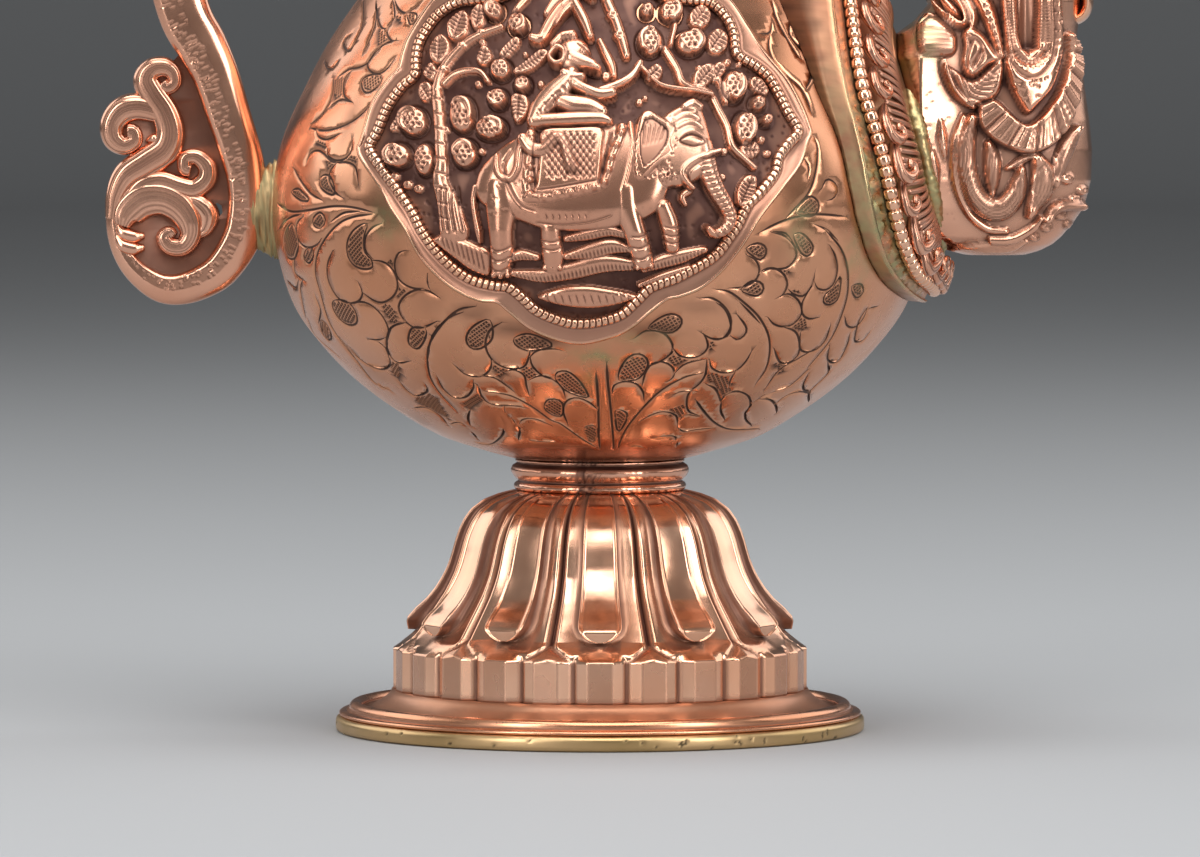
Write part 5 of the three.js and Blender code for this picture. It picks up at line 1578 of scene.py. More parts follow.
def pedestal_ring(z, tongue, flank):
    """Angles from a tongue's middle to the groove beside it, with the radius and darkness there."""
    bend = np.clip((TONGUE_END + TONGUE_BEND - z) / TONGUE_BEND, 0, 1)
    half = max(TONGUE_HALF * math.sqrt(1 - bend**2), 0.25)
    lip = min(TONGUE_LIP, 0.45 * half)
    upper_knots = [0, half - lip, half - 0.5 * lip, half, half + 0.35, half + 0.9, 11.6, 13.2, 14, 14.6, 15]
    upper = np.interp(np.arange(30), [0, 5, 7, 9, 11, 13, 20, 23, 25, 27, 29], upper_knots)
    lower = np.interp(np.arange(30), [0, 5, 7, 13, 16, 22, 24, 29], [0, 3.6, 4.0, 7.1, 7.9, 11, 11.4, 15])
    mix = np.clip((z - 15) / 2, 0, 1)
    angle = upper * mix + lower * (1 - mix)
    size = np.interp(z, [17, 22, 36, 40, 41.8], [1, 1, 0.85, 0.5, 0.15])
    base = np.interp(z, flank[:, 0], flank[:, 1])
    shape_knots = [0, half + 0.4, half + 2.2, 11.2, 12.8, 13.5, 14.3, 15]
    shape = np.interp(angle, shape_knots, [-0.2, -0.2, -0.45, 0, 0.3, 0.2, -0.6, -1.3])
    radius = base + shape * size * np.clip((z - 15.4) / 1.8, 0, 1)
    # Painted shade beside each tongue's raised edge and in the groove between flanks
    dark_knots = [half + 0.3, half + 1.2, half + 2.4, 10.5, 13, 14, 14.6, 15]
    dark = np.interp(angle, dark_knots, [0.9, 0.7, 0.4, 0.2, 0, 0.5, 1, 1]) * np.clip((z - 15) / 2, 0, 1)
    if z > TONGUE_END:
        top = np.interp(z, tongue[:, 0], tongue[:, 1])
        wall = np.interp(angle, [half, half + 0.35], [1, 0])
        edge = np.interp(angle, [half - lip, half - 0.6 * lip, half - 0.3 * lip, half], [0, 0.3, 0.3, 0])
        radius = np.where(angle < half + 0.35, base + (top + edge - base) * wall, radius)
        dark = np.where(angle < half, np.interp(angle, [0, half - lip, half - 0.9 * lip], [0, 0.1, 0]), dark)
    side = np.minimum(angle, 15 - angle)
    if z <= FACET_TOP + 0.01:
        flat_face = FACET_RADIUS * math.cos(math.radians(3.6)) / np.cos(np.radians(side))
        radius = np.interp(side, [3.6, 3.9, 6.8, 7.2, 7.5], [0, -0.12, -1.1, -1.5, -1.6]) + flat_face
        # Painted light and shade on the blocks: flat faces darker, bevels bright, and the gap between blocks
        # dark as a shadow
        dark = np.interp(side, [3.4, 3.7, 6.4, 7.1, 7.5], [0.4, 0, 0.05, 0.8, 0.9])
    elif z < APEX:
        share = np.clip((APEX - z) / (APEX - FACET_TOP), 0, 1)
        reach = 15 - angle - 7 * share
        ridge = 0.5 * np.clip(1 - (15 - angle) / 3.4, 0, 1) * share
        pleat = PLEAT_RADIUS + (FACET_RADIUS - PLEAT_RADIUS) * share**0.8 + ridge
        fold = np.exp(-((reach / 0.7) ** 2))
        radius = np.where(reach < 0, pleat, radius) - 0.5 * fold * np.clip(share * 4, 0, 1)
        notch = np.interp(side, [3.6, 6.8, 7.5], [0, -1.0, -1.6]) * np.clip((15.4 - z) / 1.1, 0, 1)
        radius = radius + notch
        # Painted shade in the fold where the pleats turn in
        dark = np.maximum(np.where(reach < 0, 0.15, dark * 0.5), 0.75 * fold)
    # Painted shade where the pedestal meets the flange
    if z < 7.7:
        dark = np.maximum(dark, 0.6)
    return angle, radius, dark


def pedestal_piece():
    """Twelve tongues between flared flanks, over a ring of faceted blocks."""
    tongue = np.array(TONGUE_LINE)
    flank = np.array(FLANK_LINE)
    points, tarnish = [], []
    for z in pedestal_levels():
        angle, radius, dark = pedestal_ring(z, tongue, flank)
        turn = np.concatenate([angle, 30 - angle[-2:0:-1]])
        ring = np.tile(np.concatenate([radius, radius[-2:0:-1]]), FLUTES)
        turns = np.radians(np.concatenate([turn + 30 * k for k in range(FLUTES)]) - 90)
        points.append(np.stack([ring * np.cos(turns), ring * np.sin(turns), np.full(len(turns), z)], -1))
        tarnish.append(np.tile(np.concatenate([dark, dark[-2:0:-1]]), FLUTES))
    sides = len(points[0])
    turns = np.arctan2(points[0][:, 1], points[0][:, 0])
    for radius, z in PEDESTAL_INSIDE:
        points.append(np.stack([radius * np.cos(turns), radius * np.sin(turns), np.full(sides, z)], -1))
        tarnish.append(np.full(sides, 0.6))
    tarnish = np.concatenate(tarnish)
    turned_piece("fluted_pedestal", np.array(points), "polished_copper", nodes=("pedestal",), tarnish=tarnish)


foot_ring_piece()
foot_flange_piece()
pedestal_piece()
stem_collar_piece()


# Spout: plate with a rope edge and scrolls, sea-dragon head, tube and lip

PLATE_MIDDLE = 104.0
ROOT_HEIGHT = 100.9
FACE_SHARES = [
    (0.94, 0.2), (0.985, 0.26), (1.012, 0.317), (1.036, 0.4), (1.03, 0.483), (1.004, 0.551), (0.96, 0.624),
    (0.912, 0.698), (0.855, 0.776), (0.788, 0.854), (0.74, 0.9),
]
# The plate's section from its edge inwards: place as in on_plate, lift off the face or the belly,
# darkness, and whether it stands on the belly
PLATE_SECTION = [
    (1.9, 0.1, 0.85, True), (1.95, -1.6, 0.62, False), (1.99, -0.4, 0.5, False), (2.04, 0.1, 0.3, False),
    (2.03, 0.5, 0.0, False), (1.95, 0.7, 0.0, False), (1.87, 0.45, 0.45, False), (1.8, 0.15, 0.6, False),
    (1.7, 0.1, 0.2, False), (1.5, 0.15, 0.15, False), (1.3, 0.2, 0.25, False), (1.16, 0.35, 0.7, False),
    (1.0, 0.1, 0.95, False), (0.95, 0.3, 0.6, False), (0.85, 0.4, 0.55, False), (0.7, 0.3, 0.6, False),
    (0.5, 0.35, 0.6, False),
]
ROPE_BEADS = 112
# Half of the plate's edge and of the rope's line inside it, as (out to the side, height)
PLATE_EDGE = [
    (0, 74.6), (13, 75.2), (24, 77.6), (31.8, 82), (36.4, 88), (38.1, 95), (37.8, 102.5), (36.1, 111),
    (32.9, 120), (27.9, 128.8), (21.5, 134.3), (12, 137.1), (0, 137.9),
]
PLATE_ROPE = [
    (0, 76.6), (11, 77.6), (22.5, 80.2), (29.6, 85), (33.2, 90.5), (34.6, 97), (34.5, 105), (32.9, 113),
    (29.4, 121), (24.6, 128.5), (18, 133), (9.6, 135.4), (0, 136),
]
face_line = spline([(r * BELLY_RADIUS, BELLY_BASE + h * BELLY_HEIGHT) for r, h in FACE_SHARES], 0.5)


def plate_outline(half):
    """An outline's offsets from the plate's middle at any angle: 0 is up, a quarter turn the front."""
    half = np.array(half, float)
    whole = np.vstack([half, half[-2:0:-1] * [-1, 1]]) - [0, PLATE_MIDDLE]
    ring = spline(whole, 0.6, closed=True)
    angle = np.arctan2(ring[:, 0], ring[:, 1])
    order = np.argsort(angle)
    return lambda a: [np.interp(a, angle[order], ring[order, k], period=TAU) for k in (0, 1)]


edge_at = plate_outline(PLATE_EDGE)
rope_at = plate_outline(PLATE_ROPE)


def on_plate(share, angle, lift, on_belly=False):
    """A point over the plate's face: share 0 is its middle, 1 the rope's line and 2 the plate's edge."""
    share, angle, lift = np.broadcast_arrays(np.asarray(share, float), angle, lift)
    (rope_y, rope_z), (edge_y, edge_z) = rope_at(angle), edge_at(angle)
    inner, outer = np.minimum(share, 1), np.maximum(share - 1, 0)
    y = -(inner * rope_y + outer * (edge_y - rope_y))
    z = PLATE_MIDDLE + inner * rope_z + outer * (edge_z - rope_z)
    radius = (belly_radius(z) if on_belly else np.interp(z, face_line[:, 1], face_line[:, 0])) + lift
    return np.stack([np.sqrt(np.maximum(radius**2 - y**2, 1)), y, z], -1)


def spout_plate_piece():
    """The plate: a wall up from the belly, a rolled golden edge, a soldered bed for the rope, a field."""
    sides = 420
    angle = np.arange(sides) * TAU / sides
    degrees = np.degrees(angle)
    rng = random.Random(11)
    # The solder lies on the lower front and back of the plate
    low = np.exp(-(((degrees - 114) / 34) ** 2)) + np.exp(-(((degrees - 246) / 34) ** 2))
    rows, dark, green = [], [], []
    for k, (share, lift, shade, seated) in enumerate(PLATE_SECTION):
        rough = np.array([rng.uniform(-1, 1) for _ in angle])
        on_bed = 7 < k < 12
        rough = (rough + np.roll(rough, 1)) * (0.2 * low + 0.04 if on_bed else 0.03 if k < 8 else 0.0)
        pits = np.array([rng.random() for _ in angle]) < (0.07 * low if on_bed else 0.0)
        rows.append(on_plate(share, angle, lift + rough - 0.3 * pits, seated))
        dark.append(np.clip(shade + 2.2 * rough + pits, 0, 1))
        green.append(np.clip(low * (1.1 if 7 < k < 13 else 0.6) + (0.3 if 3 < k < 6 else 0.0), 0, 1))
    for share in (0.5, 1.0, 1.9):
        rows.append(on_plate(share, angle, 0.2, True))
        dark.append(np.full(sides, 0.6))
        green.append(np.zeros(sides))
    turned_piece(
        "spout_disc", np.array(rows), "raised_copper",
        nodes=("spout_plate",), tarnish=np.concatenate(dark), stain=np.concatenate(green),
    )


def plate_rope_piece():
    """Beads like a string round the plate."""
    per = 14
    count = ROPE_BEADS * per
    fine = np.arange(4000) * TAU / 4000
    steps = np.linalg.norm(np.roll(on_plate(1.0, fine, 1.2), -1, 0) - on_plate(1.0, fine, 1.2), axis=1)
    run = np.concatenate([[0], np.cumsum(steps)])
    angle = np.interp(np.arange(count) / count * run[-1], run, np.append(fine, TAU))
    loop = on_plate(1.0, angle, 1.25)
    phase = (np.arange(count) % per) / per
    swell = np.clip(1 - (2 * phase - 1) ** 4, 0, 1) ** 0.5
    radius = 0.55 + 0.7 * swell
    sides = 16
    out = unit(on_plate(1.0, angle, 2.25) - loop)
    points = wire(loop, out, np.repeat(radius[:, None], sides, 1))
    # Painted shade in the gaps between beads, where the stain is green solder
    dark = np.repeat(np.clip(0.9 - 1.5 * swell, 0, 1), sides)
    turned_piece(
        "plate_rope", points, "polished_copper",
        nodes=("spout_rope",), tarnish=dark, stain=np.repeat(0.3 * (1 - swell), sides),
    )


# A curled leaf: sideways, inwards and up from its place on the plate, and half width
CURL = [
    (-3.6, 3.6, 0.2, 0.5), (-2.6, 1.6, 0.7, 0.9), (-1.4, -0.6, 1.3, 1.2), (0.2, -2.4, 2.0, 1.35),
    (2.0, -2.8, 2.5, 1.25), (3.0, -1.2, 2.9, 1.1), (2.5, 0.7, 3.1, 0.95), (1.1, 1.0, 3.2, 0.8),
    (0.5, -0.2, 3.3, 0.7), (1.2, -1.0, 3.5, 0.6),
]
CURL_COUNT = 30


def plate_scrolls_piece():
    """A wreath of curled leaves between the rope and the root, each a ribbed band that ends in an eye."""
    parts = Parts()
    rng = random.Random(23)
    sides = 36
    turn = np.arange(sides) * TAU / sides
    cut = np.exp(-(((np.sin(2.5 * turn)) / 0.3) ** 2)) * (np.sin(turn) > -0.2)
    ring = circle(sides) * [1, 0.8] * (1 - 0.13 * cut)[:, None]
    for k in range(CURL_COUNT):
        middle = TAU * (k + 0.25 * rng.random()) / CURL_COUNT
        spot = on_plate(0.88, middle, 0.0)
        up = unit(on_plate(0.88, middle, 1.0) - spot)
        side = unit(on_plate(0.88, middle + 0.02, 0.0) - spot)
        inward = unit(on_plate(0.7, middle, 0.0) - spot)
        curl = spline(CURL, 0.35) * (0.86 + 0.24 * rng.random())
        line = spot + curl[:, :1] * side + curl[:, 1:2] * inward + curl[:, 2:3] * up
        along = tangents(line)
        across = unit(np.cross(along, np.repeat(up[None], len(line), 0)))
        # Tarnish with painted shade: darker in the rib grooves and towards the plate, lighter at the raised
        # tips
        parts.grid(
            sweep(line, across, np.cross(across, along), curl[:, 3][:, None, None] * ring),
            np.clip(0.9 * cut[None] + 0.5 - 0.18 * curl[:, 2:3], 0, 1),
        )
        # Low leaf ribs that run from the curl to the brazing
        for lean in (-2.6, -1.4, -0.2, 1.0):
            start = on_plate(0.8, middle + (lean - 0.6) * 0.045, 0.1)
            end = on_plate(0.6, middle + (lean + 0.8) * 0.055, 0.3)
            way = np.linspace(0, 1, 9)[:, None]
            rib = start + way * (end - start) + np.sin(math.pi * way) * up
            along = tangents(rib)
            across = unit(np.cross(along, np.repeat(up[None], 9, 0)))
            points = sweep(rib, across, np.cross(across, along), 0.5 * ring[None])
            parts.grid(points, np.full((1, sides), 0.4))
    parts.piece("plate_scrolls", "cast_copper", nodes=("spout_scrolls",))


def root_ring_piece():
    """Brazing between the plate and the sea-dragon's neck: lumpy and greenish."""
    rng = random.Random(21)
    sides, count = 14, 300
    angle = np.arange(count) * TAU / count
    y, z = 18.2 * np.sin(angle), ROOT_HEIGHT + 17.2 * np.cos(angle)
    radius = np.interp(z, face_line[:, 1], face_line[:, 0]) + 0.5
    line = np.stack([np.sqrt(radius**2 - y**2), y, z], -1)
    out = np.repeat([[1.0, 0, 0]], count, 0)
    lumps = np.array([rng.uniform(-1, 1) for _ in range(count * sides)]).reshape(count, sides)
    radius = 1.35 + 0.2 * lumps + 0.25 * np.sin(angle * 9 + 1)[:, None]
    points = wire(line, out, radius)
    noise = np.clip(0.5 + 0.5 * lumps, 0, 1)
    turned_piece(
        "spout_brazing", points, "brass_metal",
        nodes=("spout_root_ring",), tarnish=(0.3 * noise).ravel(), stain=(0.4 + 0.5 * noise).ravel(),
    )


MOUTH_X = 1026
CRESCENT_OUTER = [
    (978, 104), (979, 124), (992, 139), (1010, 149), (1027, 153), (1045, 148), (1061, 132), (1071, 108),
    (1075, 80), (1074, 52), (1066, 30),
]
CRESCENT_INNER = [
    (992, 98), (999, 103), (1008, 112), (1018, 121), (1026, 124), (1035, 119), (1045, 107), (1054, 92),
    (1060, 74), (1063, 52), (1060, 32),
]
SNOUT_COIL = [
    (76.5, 130.5, 1.1), (79.5, 131, 1.3), (82.4, 130, 1.35), (84.2, 127.2, 1.3), (83.6, 124.4, 1.2),
    (81, 123.4, 1.1), (79.4, 125.2, 1.0), (80.4, 127.4, 0.9), (82, 126.8, 0.8),
]
TUBE_LINE = [
    (69.2, 0, 140), (69.2, 0, 145.5), (69.9, 0, 154.8), (72, 0, 164.1), (75.1, 0, 173.3), (77.7, 0, 180.3),
    (79.1, 0, 186.1), (79.1, 0, 188.4),
]
TUBE_BORE = 4.7
TUBE_TOP_X = 79.1
RIM_LINE = [
    (6.0, 188.5), (7.3, 188.6), (8.1, 189.3), (8.4, 190.2), (8.2, 191.2), (7.5, 191.8), (6.4, 191.9),
    (6.0, 191.6),
]
# Sections of the head: height, left and right x, half width
HEAD_SECTIONS = np.array([
    (82.8, 63, 74, 7), (83.4, 60.5, 76.2, 8.6), (84.6, 57.5, 78.6, 10.4), (86, 52, 80.2, 11.6),
    (88.4, 48, 82.2, 12.6), (91, 45, 84, 13.3), (95.6, 45, 85.2, 14), (101, 45, 85.4, 14.2),
    (106, 45, 84.9, 14.2), (112.9, 45, 83.9, 14), (117, 46, 83, 13.8), (120, 50, 82.6, 13.6),
    (123.4, 54.6, 83, 13.3), (126.8, 57.4, 83.4, 13), (131, 58.4, 82.6, 12.7), (136, 59.2, 80.8, 12.2),
    (141, 60, 79.6, 11.4), (144.5, 61.2, 78.4, 10.4), (145.7, 61.8, 77.4, 9.6),
])


TUFT = """
mound 1.5 9 0 917,36 918,20 930,13 944,22 955,36 953,54 936,56 920,52
comb 9 0.3 0.8 0.6 918,33,0,2.4 934,34.2,0,2.4 951,34.8,0,2.4
comb 5 0.3 0.75 0.6 919,31,2,-1.5 932,22,2,-1 948,32,1,1
"""
EYE = """
rod 1.4 0 930,-10,4 946,-14,6 962,-4,7 972,14,6 972,28,3
ring 2.2 0 938,-4,3 946,-8,3.4 958,2,3.4 966,14,3.2 966,24,3 957,26,3 944,16,3 938,6,3
mound 2.4 5 0 943,1 949,0 958,10 961,19 953,18 945,10
loop 0.35 1 0.8 943,1 949,0 958,10 961,19 953,18 945,10
"""
FACE_RIDGE = """
rod 1.9 0 966,-30,9 978,-8,9 988,14,8 995,36,6 1000,56,4
"""
DRAGON_EAR = """
mound 1.7 6 0 962,32 973,28 984,36 994,50 1000,60 988,66 976,77 966,76 961,62 963,46
groove 0.5 1.5 0.7 966,36 970,44 966,58 966,70
groove 0.45 1.3 0.7 969,46 974,40 980,46 978,58 972,68
groove 0.4 1.2 0.6 981,50 983,58 978,66 972,69 976,58 981,50
comb 4 0.3 0.8 0.5 965,64,3,-2 967,69,3,-2
"""
FAN = """
mound 2 5 0 944,66 956,72 972,80 988,68 1000,58 1002,74 998,92 986,103 970,105 956,92
"""
FAN_ARC = """
rod 1.9 0 941,60,2 944,74,3.2 952,90,3.6 963,101,3.4 974,107,2
groove 0.5 1.2 0.8 947,66 952,80 960,92 970,100
"""
LIP = """
mound 2.5 6 0 1003,46 1003,66 1008,86 1016,102 1025,114 1036,104 1048,88 1055,62 1057,30 1056,0 1055,-60
  1040,-60 1040,40 1034,58 1024,62 1014,54 1010,30 1008,0 1006,-60 998,-60 1000,0
rod 1.9 0 1010,-60,6 1010,-20,6 1011,20,6 1013,44,7 1026,60,8 1038,46,7 1040,20,6 1040,-20,6 1040,-60,6
comb 34 0.35 0.8 0.6 1034,-58,0,3 1044,-58.5,0,3
comb 34 0.35 0.8 0.6 1005,-58,0,3 1015,-57,0,3
"""
LIP_LINE = """
groove 0.45 1.3 0.9 1006,50 1009,64 1018,75 1027,78 1036,74 1044,60 1047,30 1047,0 1047,-60
"""
LOCKS = """
rod 0.8 0 963,116,3 954,140,4 953,166,4 958,192,4 970,214,4 988,228,4 1006,230,3
lock 2 6 972,118,6 966,134,10 964,158,11 968,180,11 977,198,11 990,208,11 1003,207,11 1013,196,10
  1018,182,8 1020,168,4
lock 1.7 5 988,143,4 991,156,8 992,172,8 992,186,5 992,196,1
lock 1.8 6 1036,158,6 1042,172,11 1041,188,11 1034,202,8 1027,214,3
lock 1.8 5 1074,128,4 1067,142,7 1060,158,7 1054,178,4 1052,186,1
lock 1.2 2 1006,168,2 1014,164,4 1024,158,4 1034,154,2
"""
LOWEST_LOCK = """
lock 1.7 3 1044,218,3 1056,206,5 1072,204,5 1086,206,3
"""
LOCK_CURLS = [
    (1066, 178, 7), (1082, 190, 6), (1074, 199, 6), (1060, 214, 6), (1046, 226, 6), (1034, 236, 5),
    (1068, 224, 5),
]
FOLDS = """
rod 1.1 0 990,238,3 1010,238,4 1030,228,4 1040,216,2
"""


def head_drawing():
    """Strokes of the sea-dragon's face and mane, in pixels of the photograph."""
    r = Relief(895, -100, 1100, 262, 0.8)
    # Neck: long flat locks
    for x, top, low in ((926, 132, 172), (934, 150, 185), (942, 120, 160)):
        r.rod([(x - 2, top, 1), (x, (top + low) / 2, 5), (x + 3, low, 1)], 0.5)
    # Mane tuft
    r.draw(TUFT)
    # Brow, eyelid and eye
    r.draw(EYE)
    # Face ridge from the brow to the mouth's corner
    r.draw(FACE_RIDGE)
    for k in range(9):
        r.pit(984 + 1.6 * k, -6 + 7 * k, 1.3, 0.5)
    # Ear
    r.draw(DRAGON_EAR)
    # Ribbed fan below the ear, and the arc that frames it
    r.draw(FAN)
    for s in np.linspace(0, 1, 7):
        rib = [(988 - 30 * s, 67 + 8 * s), (990 - 22 * s, 73 + 22 * s), (999 - 12 * s, 66 + 36 * s)]
        r.groove(rib, 0.5, 1.5, dark=0.75)
    r.draw(FAN_ARC)
    # Mouth: a dark slot with teeth, in a dotted lip
    r.draw(LIP)
    for k in range(11):
        a = math.pi * (0.06 + 0.088 * k)
        gum = (MOUTH_X + 9 * math.cos(a), 48 + 8 * math.sin(a))
        tip = (MOUTH_X + 18 * math.cos(a), 50 + 19 * math.sin(a))
        r.groove([gum, tip], 0.35, 0.9, dark=0.6)
    slot, x, y = r.window(np.array([(1018, -90), (1034, 48)]), 3)
    deep = np.clip(1 - np.abs(x - 1026.5) / 7.5, 0, 1) ** 0.3 * (y < 49)
    r.height[slot] = np.where(deep > 0, np.minimum(r.height[slot], 0.6 - 1.3 * deep), r.height[slot])
    # Painted shade deep in the mouth's slot
    r.dark[slot] = np.maximum(r.dark[slot], 0.55 * deep)
    r.draw(LIP_LINE)
    rng = random.Random(4)
    for _ in range(46):
        x, y = rng.uniform(1004, 1050), rng.uniform(70, 110)
        if abs(x - MOUTH_X) < (112 - y) * 0.62 and y > 78:
            r.pit(x, y, 1.1, 0.45)
    for k in range(15):
        r.pit(1050 + rng.uniform(-2, 3), -50 + 8.6 * k, 1.1, 0.45)
        r.pit(1002 + rng.uniform(-2, 1), -50 + 7.2 * k, 1.2, 0.45)
    # Crescent of seven ribbed leaves under the lip
    outer, inner = (even(spline(line, 1), 121) for line in (CRESCENT_OUTER, CRESCENT_INNER))
    r.mound(np.vstack([outer, inner[::-1]])[::2], 2.2, 3.5, foot=0.6)
    for k in range(8):
        i = 15 * k
        r.groove([inner[i] + 0.1 * (outer[i] - inner[i]), outer[i]], 0.8, 1.6, dark=0.9)
        for m in range(1, 6):
            n = min(i + int(2.5 * m), 120)
            width = outer[n] - inner[n]
            r.groove([inner[n] + 0.12 * width, inner[n] + 0.9 * width], 0.35, 0.85, dark=0.6)
    r.groove(outer[::8], 0.3, 1.6, dark=0.9)
    # Locks: a large one that turns up again, and leaves inside and beside it
    r.draw(LOCKS)
    for x, y, size in LOCK_CURLS:
        r.ball(x, y, size, size * 0.8, 0.9, 0.2)
        curl = [(x - size * 0.5, y), (x, y - size * 0.4), (x + size * 0.5, y), (x + 1, y + size * 0.3)]
        r.groove(curl, 0.4, 1, dark=0.8)
    r.draw(LOWEST_LOCK)
    # Folds under the head and stubble on the smooth elbow
    for k in range(4):
        r.rod([(960 + 8 * k, 246 + k, 2), (985 + 8 * k, 244 + k, 3.5), (1012 + 5 * k, 236 + k, 2)], 0.7)
    r.draw(FOLDS)
    for _ in range(60):
        r.pit(rng.uniform(925, 955), rng.uniform(70, 225), 0.9, 0.12, 0.35)
    return r


def makara_head_piece():
    """The head: rounded sections raised by the drawing, clear of the plate, and the curl of the snout."""
    drawing = head_drawing()
    recess = drawing.recess()
    levels = [np.linspace(82.8, 86, 14), np.linspace(86, 144.5, 215), np.linspace(144.5, 145.7, 6)]
    heights = np.unique(np.concatenate(levels))
    columns = 380
    angle = np.arange(columns) * TAU / columns
    power = 2 / 2.35
    rows = []
    for z in heights:
        left, right, half = (np.interp(z, HEAD_SECTIONS[:, 0], HEAD_SECTIONS[:, k]) for k in (1, 2, 3))
        c, s = np.cos(angle), np.sin(angle)
        x = (left + right) / 2 + (right - left) / 2 * np.sign(c) * np.abs(c) ** power
        y = half * np.sign(s) * np.abs(s) ** power
        # The neck flares where it meets the plate
        y = y * (1 + 0.3 * np.clip((63 - x) / 8, 0, 1) ** 1.5)
        rows.append(even(np.stack([x, y, np.full(columns, z)], -1), columns, closed=True))
    body = np.array(rows)
    down = np.gradient(body, axis=0)
    round_ = np.roll(body, -1, 1) - np.roll(body, 1, 1)
    normal = unit(np.cross(round_, down))
    seen = body * [1, -1, 1]
    seen = np.where(body[..., 1:2] < 0, body, seen)
    px, py = pixel_of(seen)
    shift = drawing.at(drawing.height, px, py)
    # Patina and painted shade in the recesses of the drawing
    dark = drawing.at(recess, px, py)
    facing = np.clip(np.abs(normal[..., 1]) / 0.5, 0, 1)
    top = np.clip((145.5 - body[..., 2]) / 3, 0.15, 1)
    body = body + normal * (shift * facing * top * 1.15)[..., None]
    dark = dark * (0.5 + 0.5 * facing)
    keep_out = np.interp(body[..., 2], face_line[:, 1], face_line[:, 0]) + 0.3
    radial = np.hypot(body[..., 0], body[..., 1])
    push = np.maximum(keep_out / radial, 1)
    body[..., :2] *= push[..., None]
    count = len(heights)
    points = body.reshape(-1, 3)
    points = np.vstack([points, body[0].mean(0), body[-1].mean(0) + [0, 0, 0.1]])
    j = np.arange(columns)
    k = (j + 1) % columns
    last = (count - 1) * columns
    base = count * columns
    caps = np.vstack([
        np.stack([np.full(columns, base), k, j], -1),
        np.stack([np.full(columns, base + 1), last + j, last + k], -1),
    ])
    green = 0.9 * np.clip((59 - body[..., 0]) / 4, 0, 1) * np.clip((body[..., 2] - 108) / 8, 0, 1)
    make_mesh(
        "sea_dragon_head", points, [grid_faces(count, columns), caps], "cast_copper", nodes=("makara_head",),
        tarnish=np.append(dark.ravel(), [0.8, 0.8]), stain=np.append(green.ravel(), [0, 0]),
    )
    path = spline([(x, 0, z, r) for x, z, r in SNOUT_COIL], 0.5)
    tube_piece("snout_curl", path[:, :3], path[:, 3], "polished_copper", sides=20, squash=4.6)


def spout_tube_piece():
    """The tube that rises from the dragon's mouth, and its lip."""
    line = spline(TUBE_LINE, 0.7)
    run = np.linspace(0, 1, len(line))
    radius = np.interp(run, [0, 0.1, 0.14, 0.2, 0.23, 0.27, 0.9, 1], [7.2, 7.6, 6.4, 6.2, 7.0, 6.1, 5.9, 5.9])
    along = tangents(line)
    across = np.repeat([[0.0, 1.0, 0.0]], len(line), 0)
    out = unit(np.cross(across, along))
    sides = 64
    turn = np.arange(sides) * TAU / sides
    scale = 1 + 0.02 * np.cos(12 * turn)[None, :] * (run[:, None] > 0.3)
    outer = sweep(line, across, out, circle(sides) * (radius[:, None] * scale)[..., None])
    inner = sweep(line, across, out, TUBE_BORE * circle(sides))
    points = np.concatenate([outer, inner[::-1]])
    shade = np.interp(run, [0.12, 0.15, 0.2, 0.24, 0.28], [0.3, 0.8, 0.1, 0.1, 0.6])
    dark = np.concatenate([np.repeat(shade, sides), np.full(len(line) * sides, 0.7)])
    turned_piece("spout_pipe", points, "raised_copper", nodes=("spout_tube",), tarnish=dark)
    rim = lathe(spline(RIM_LINE, 0.4, closed=True), 96)[0] + [TUBE_TOP_X, 0, 0]
    turned_piece("spout_rim", rim, "polished_copper", nodes=("spout_lip",))


spout_plate_piece()
plate_rope_piece()
plate_scrolls_piece()
root_ring_piece()
makara_head_piece()
spout_tube_piece()


# Handle: a faceted bar that runs out into scrolls, and its two brazed lugs

# The scrolls are drawn in pixels of an enlarged piece of the photograph: its corner and its scale
# there, and the millimetres of a pixel of the photograph and of the piece in the handle's middle plane
DRAWING_LEFT = 98
DRAWING_TOP = 45
DRAWING_SCALE = 4.6
PIXEL_SIZE = 0.1733
DRAWN_SIZE = 0.0377
BAR_WIDTH = 9.3
BAR_HALF_DEPTH = 3.4
SCROLL_FULLNESS = 1.42
RIB_DEPTH = 0.16


def flat_place(pixels, y=-3.0):
    """The point at a depth that a pixel shows."""
    away = (CAMERA_DISTANCE + y) / FOCAL_PIXELS
    x = (pixels[:, 0] - IMAGE_WIDTH / 2) * away
    return np.stack([x, np.zeros(len(x)), CAMERA_HEIGHT - (pixels[:, 1] + PIXEL_DROP) * away], -1)


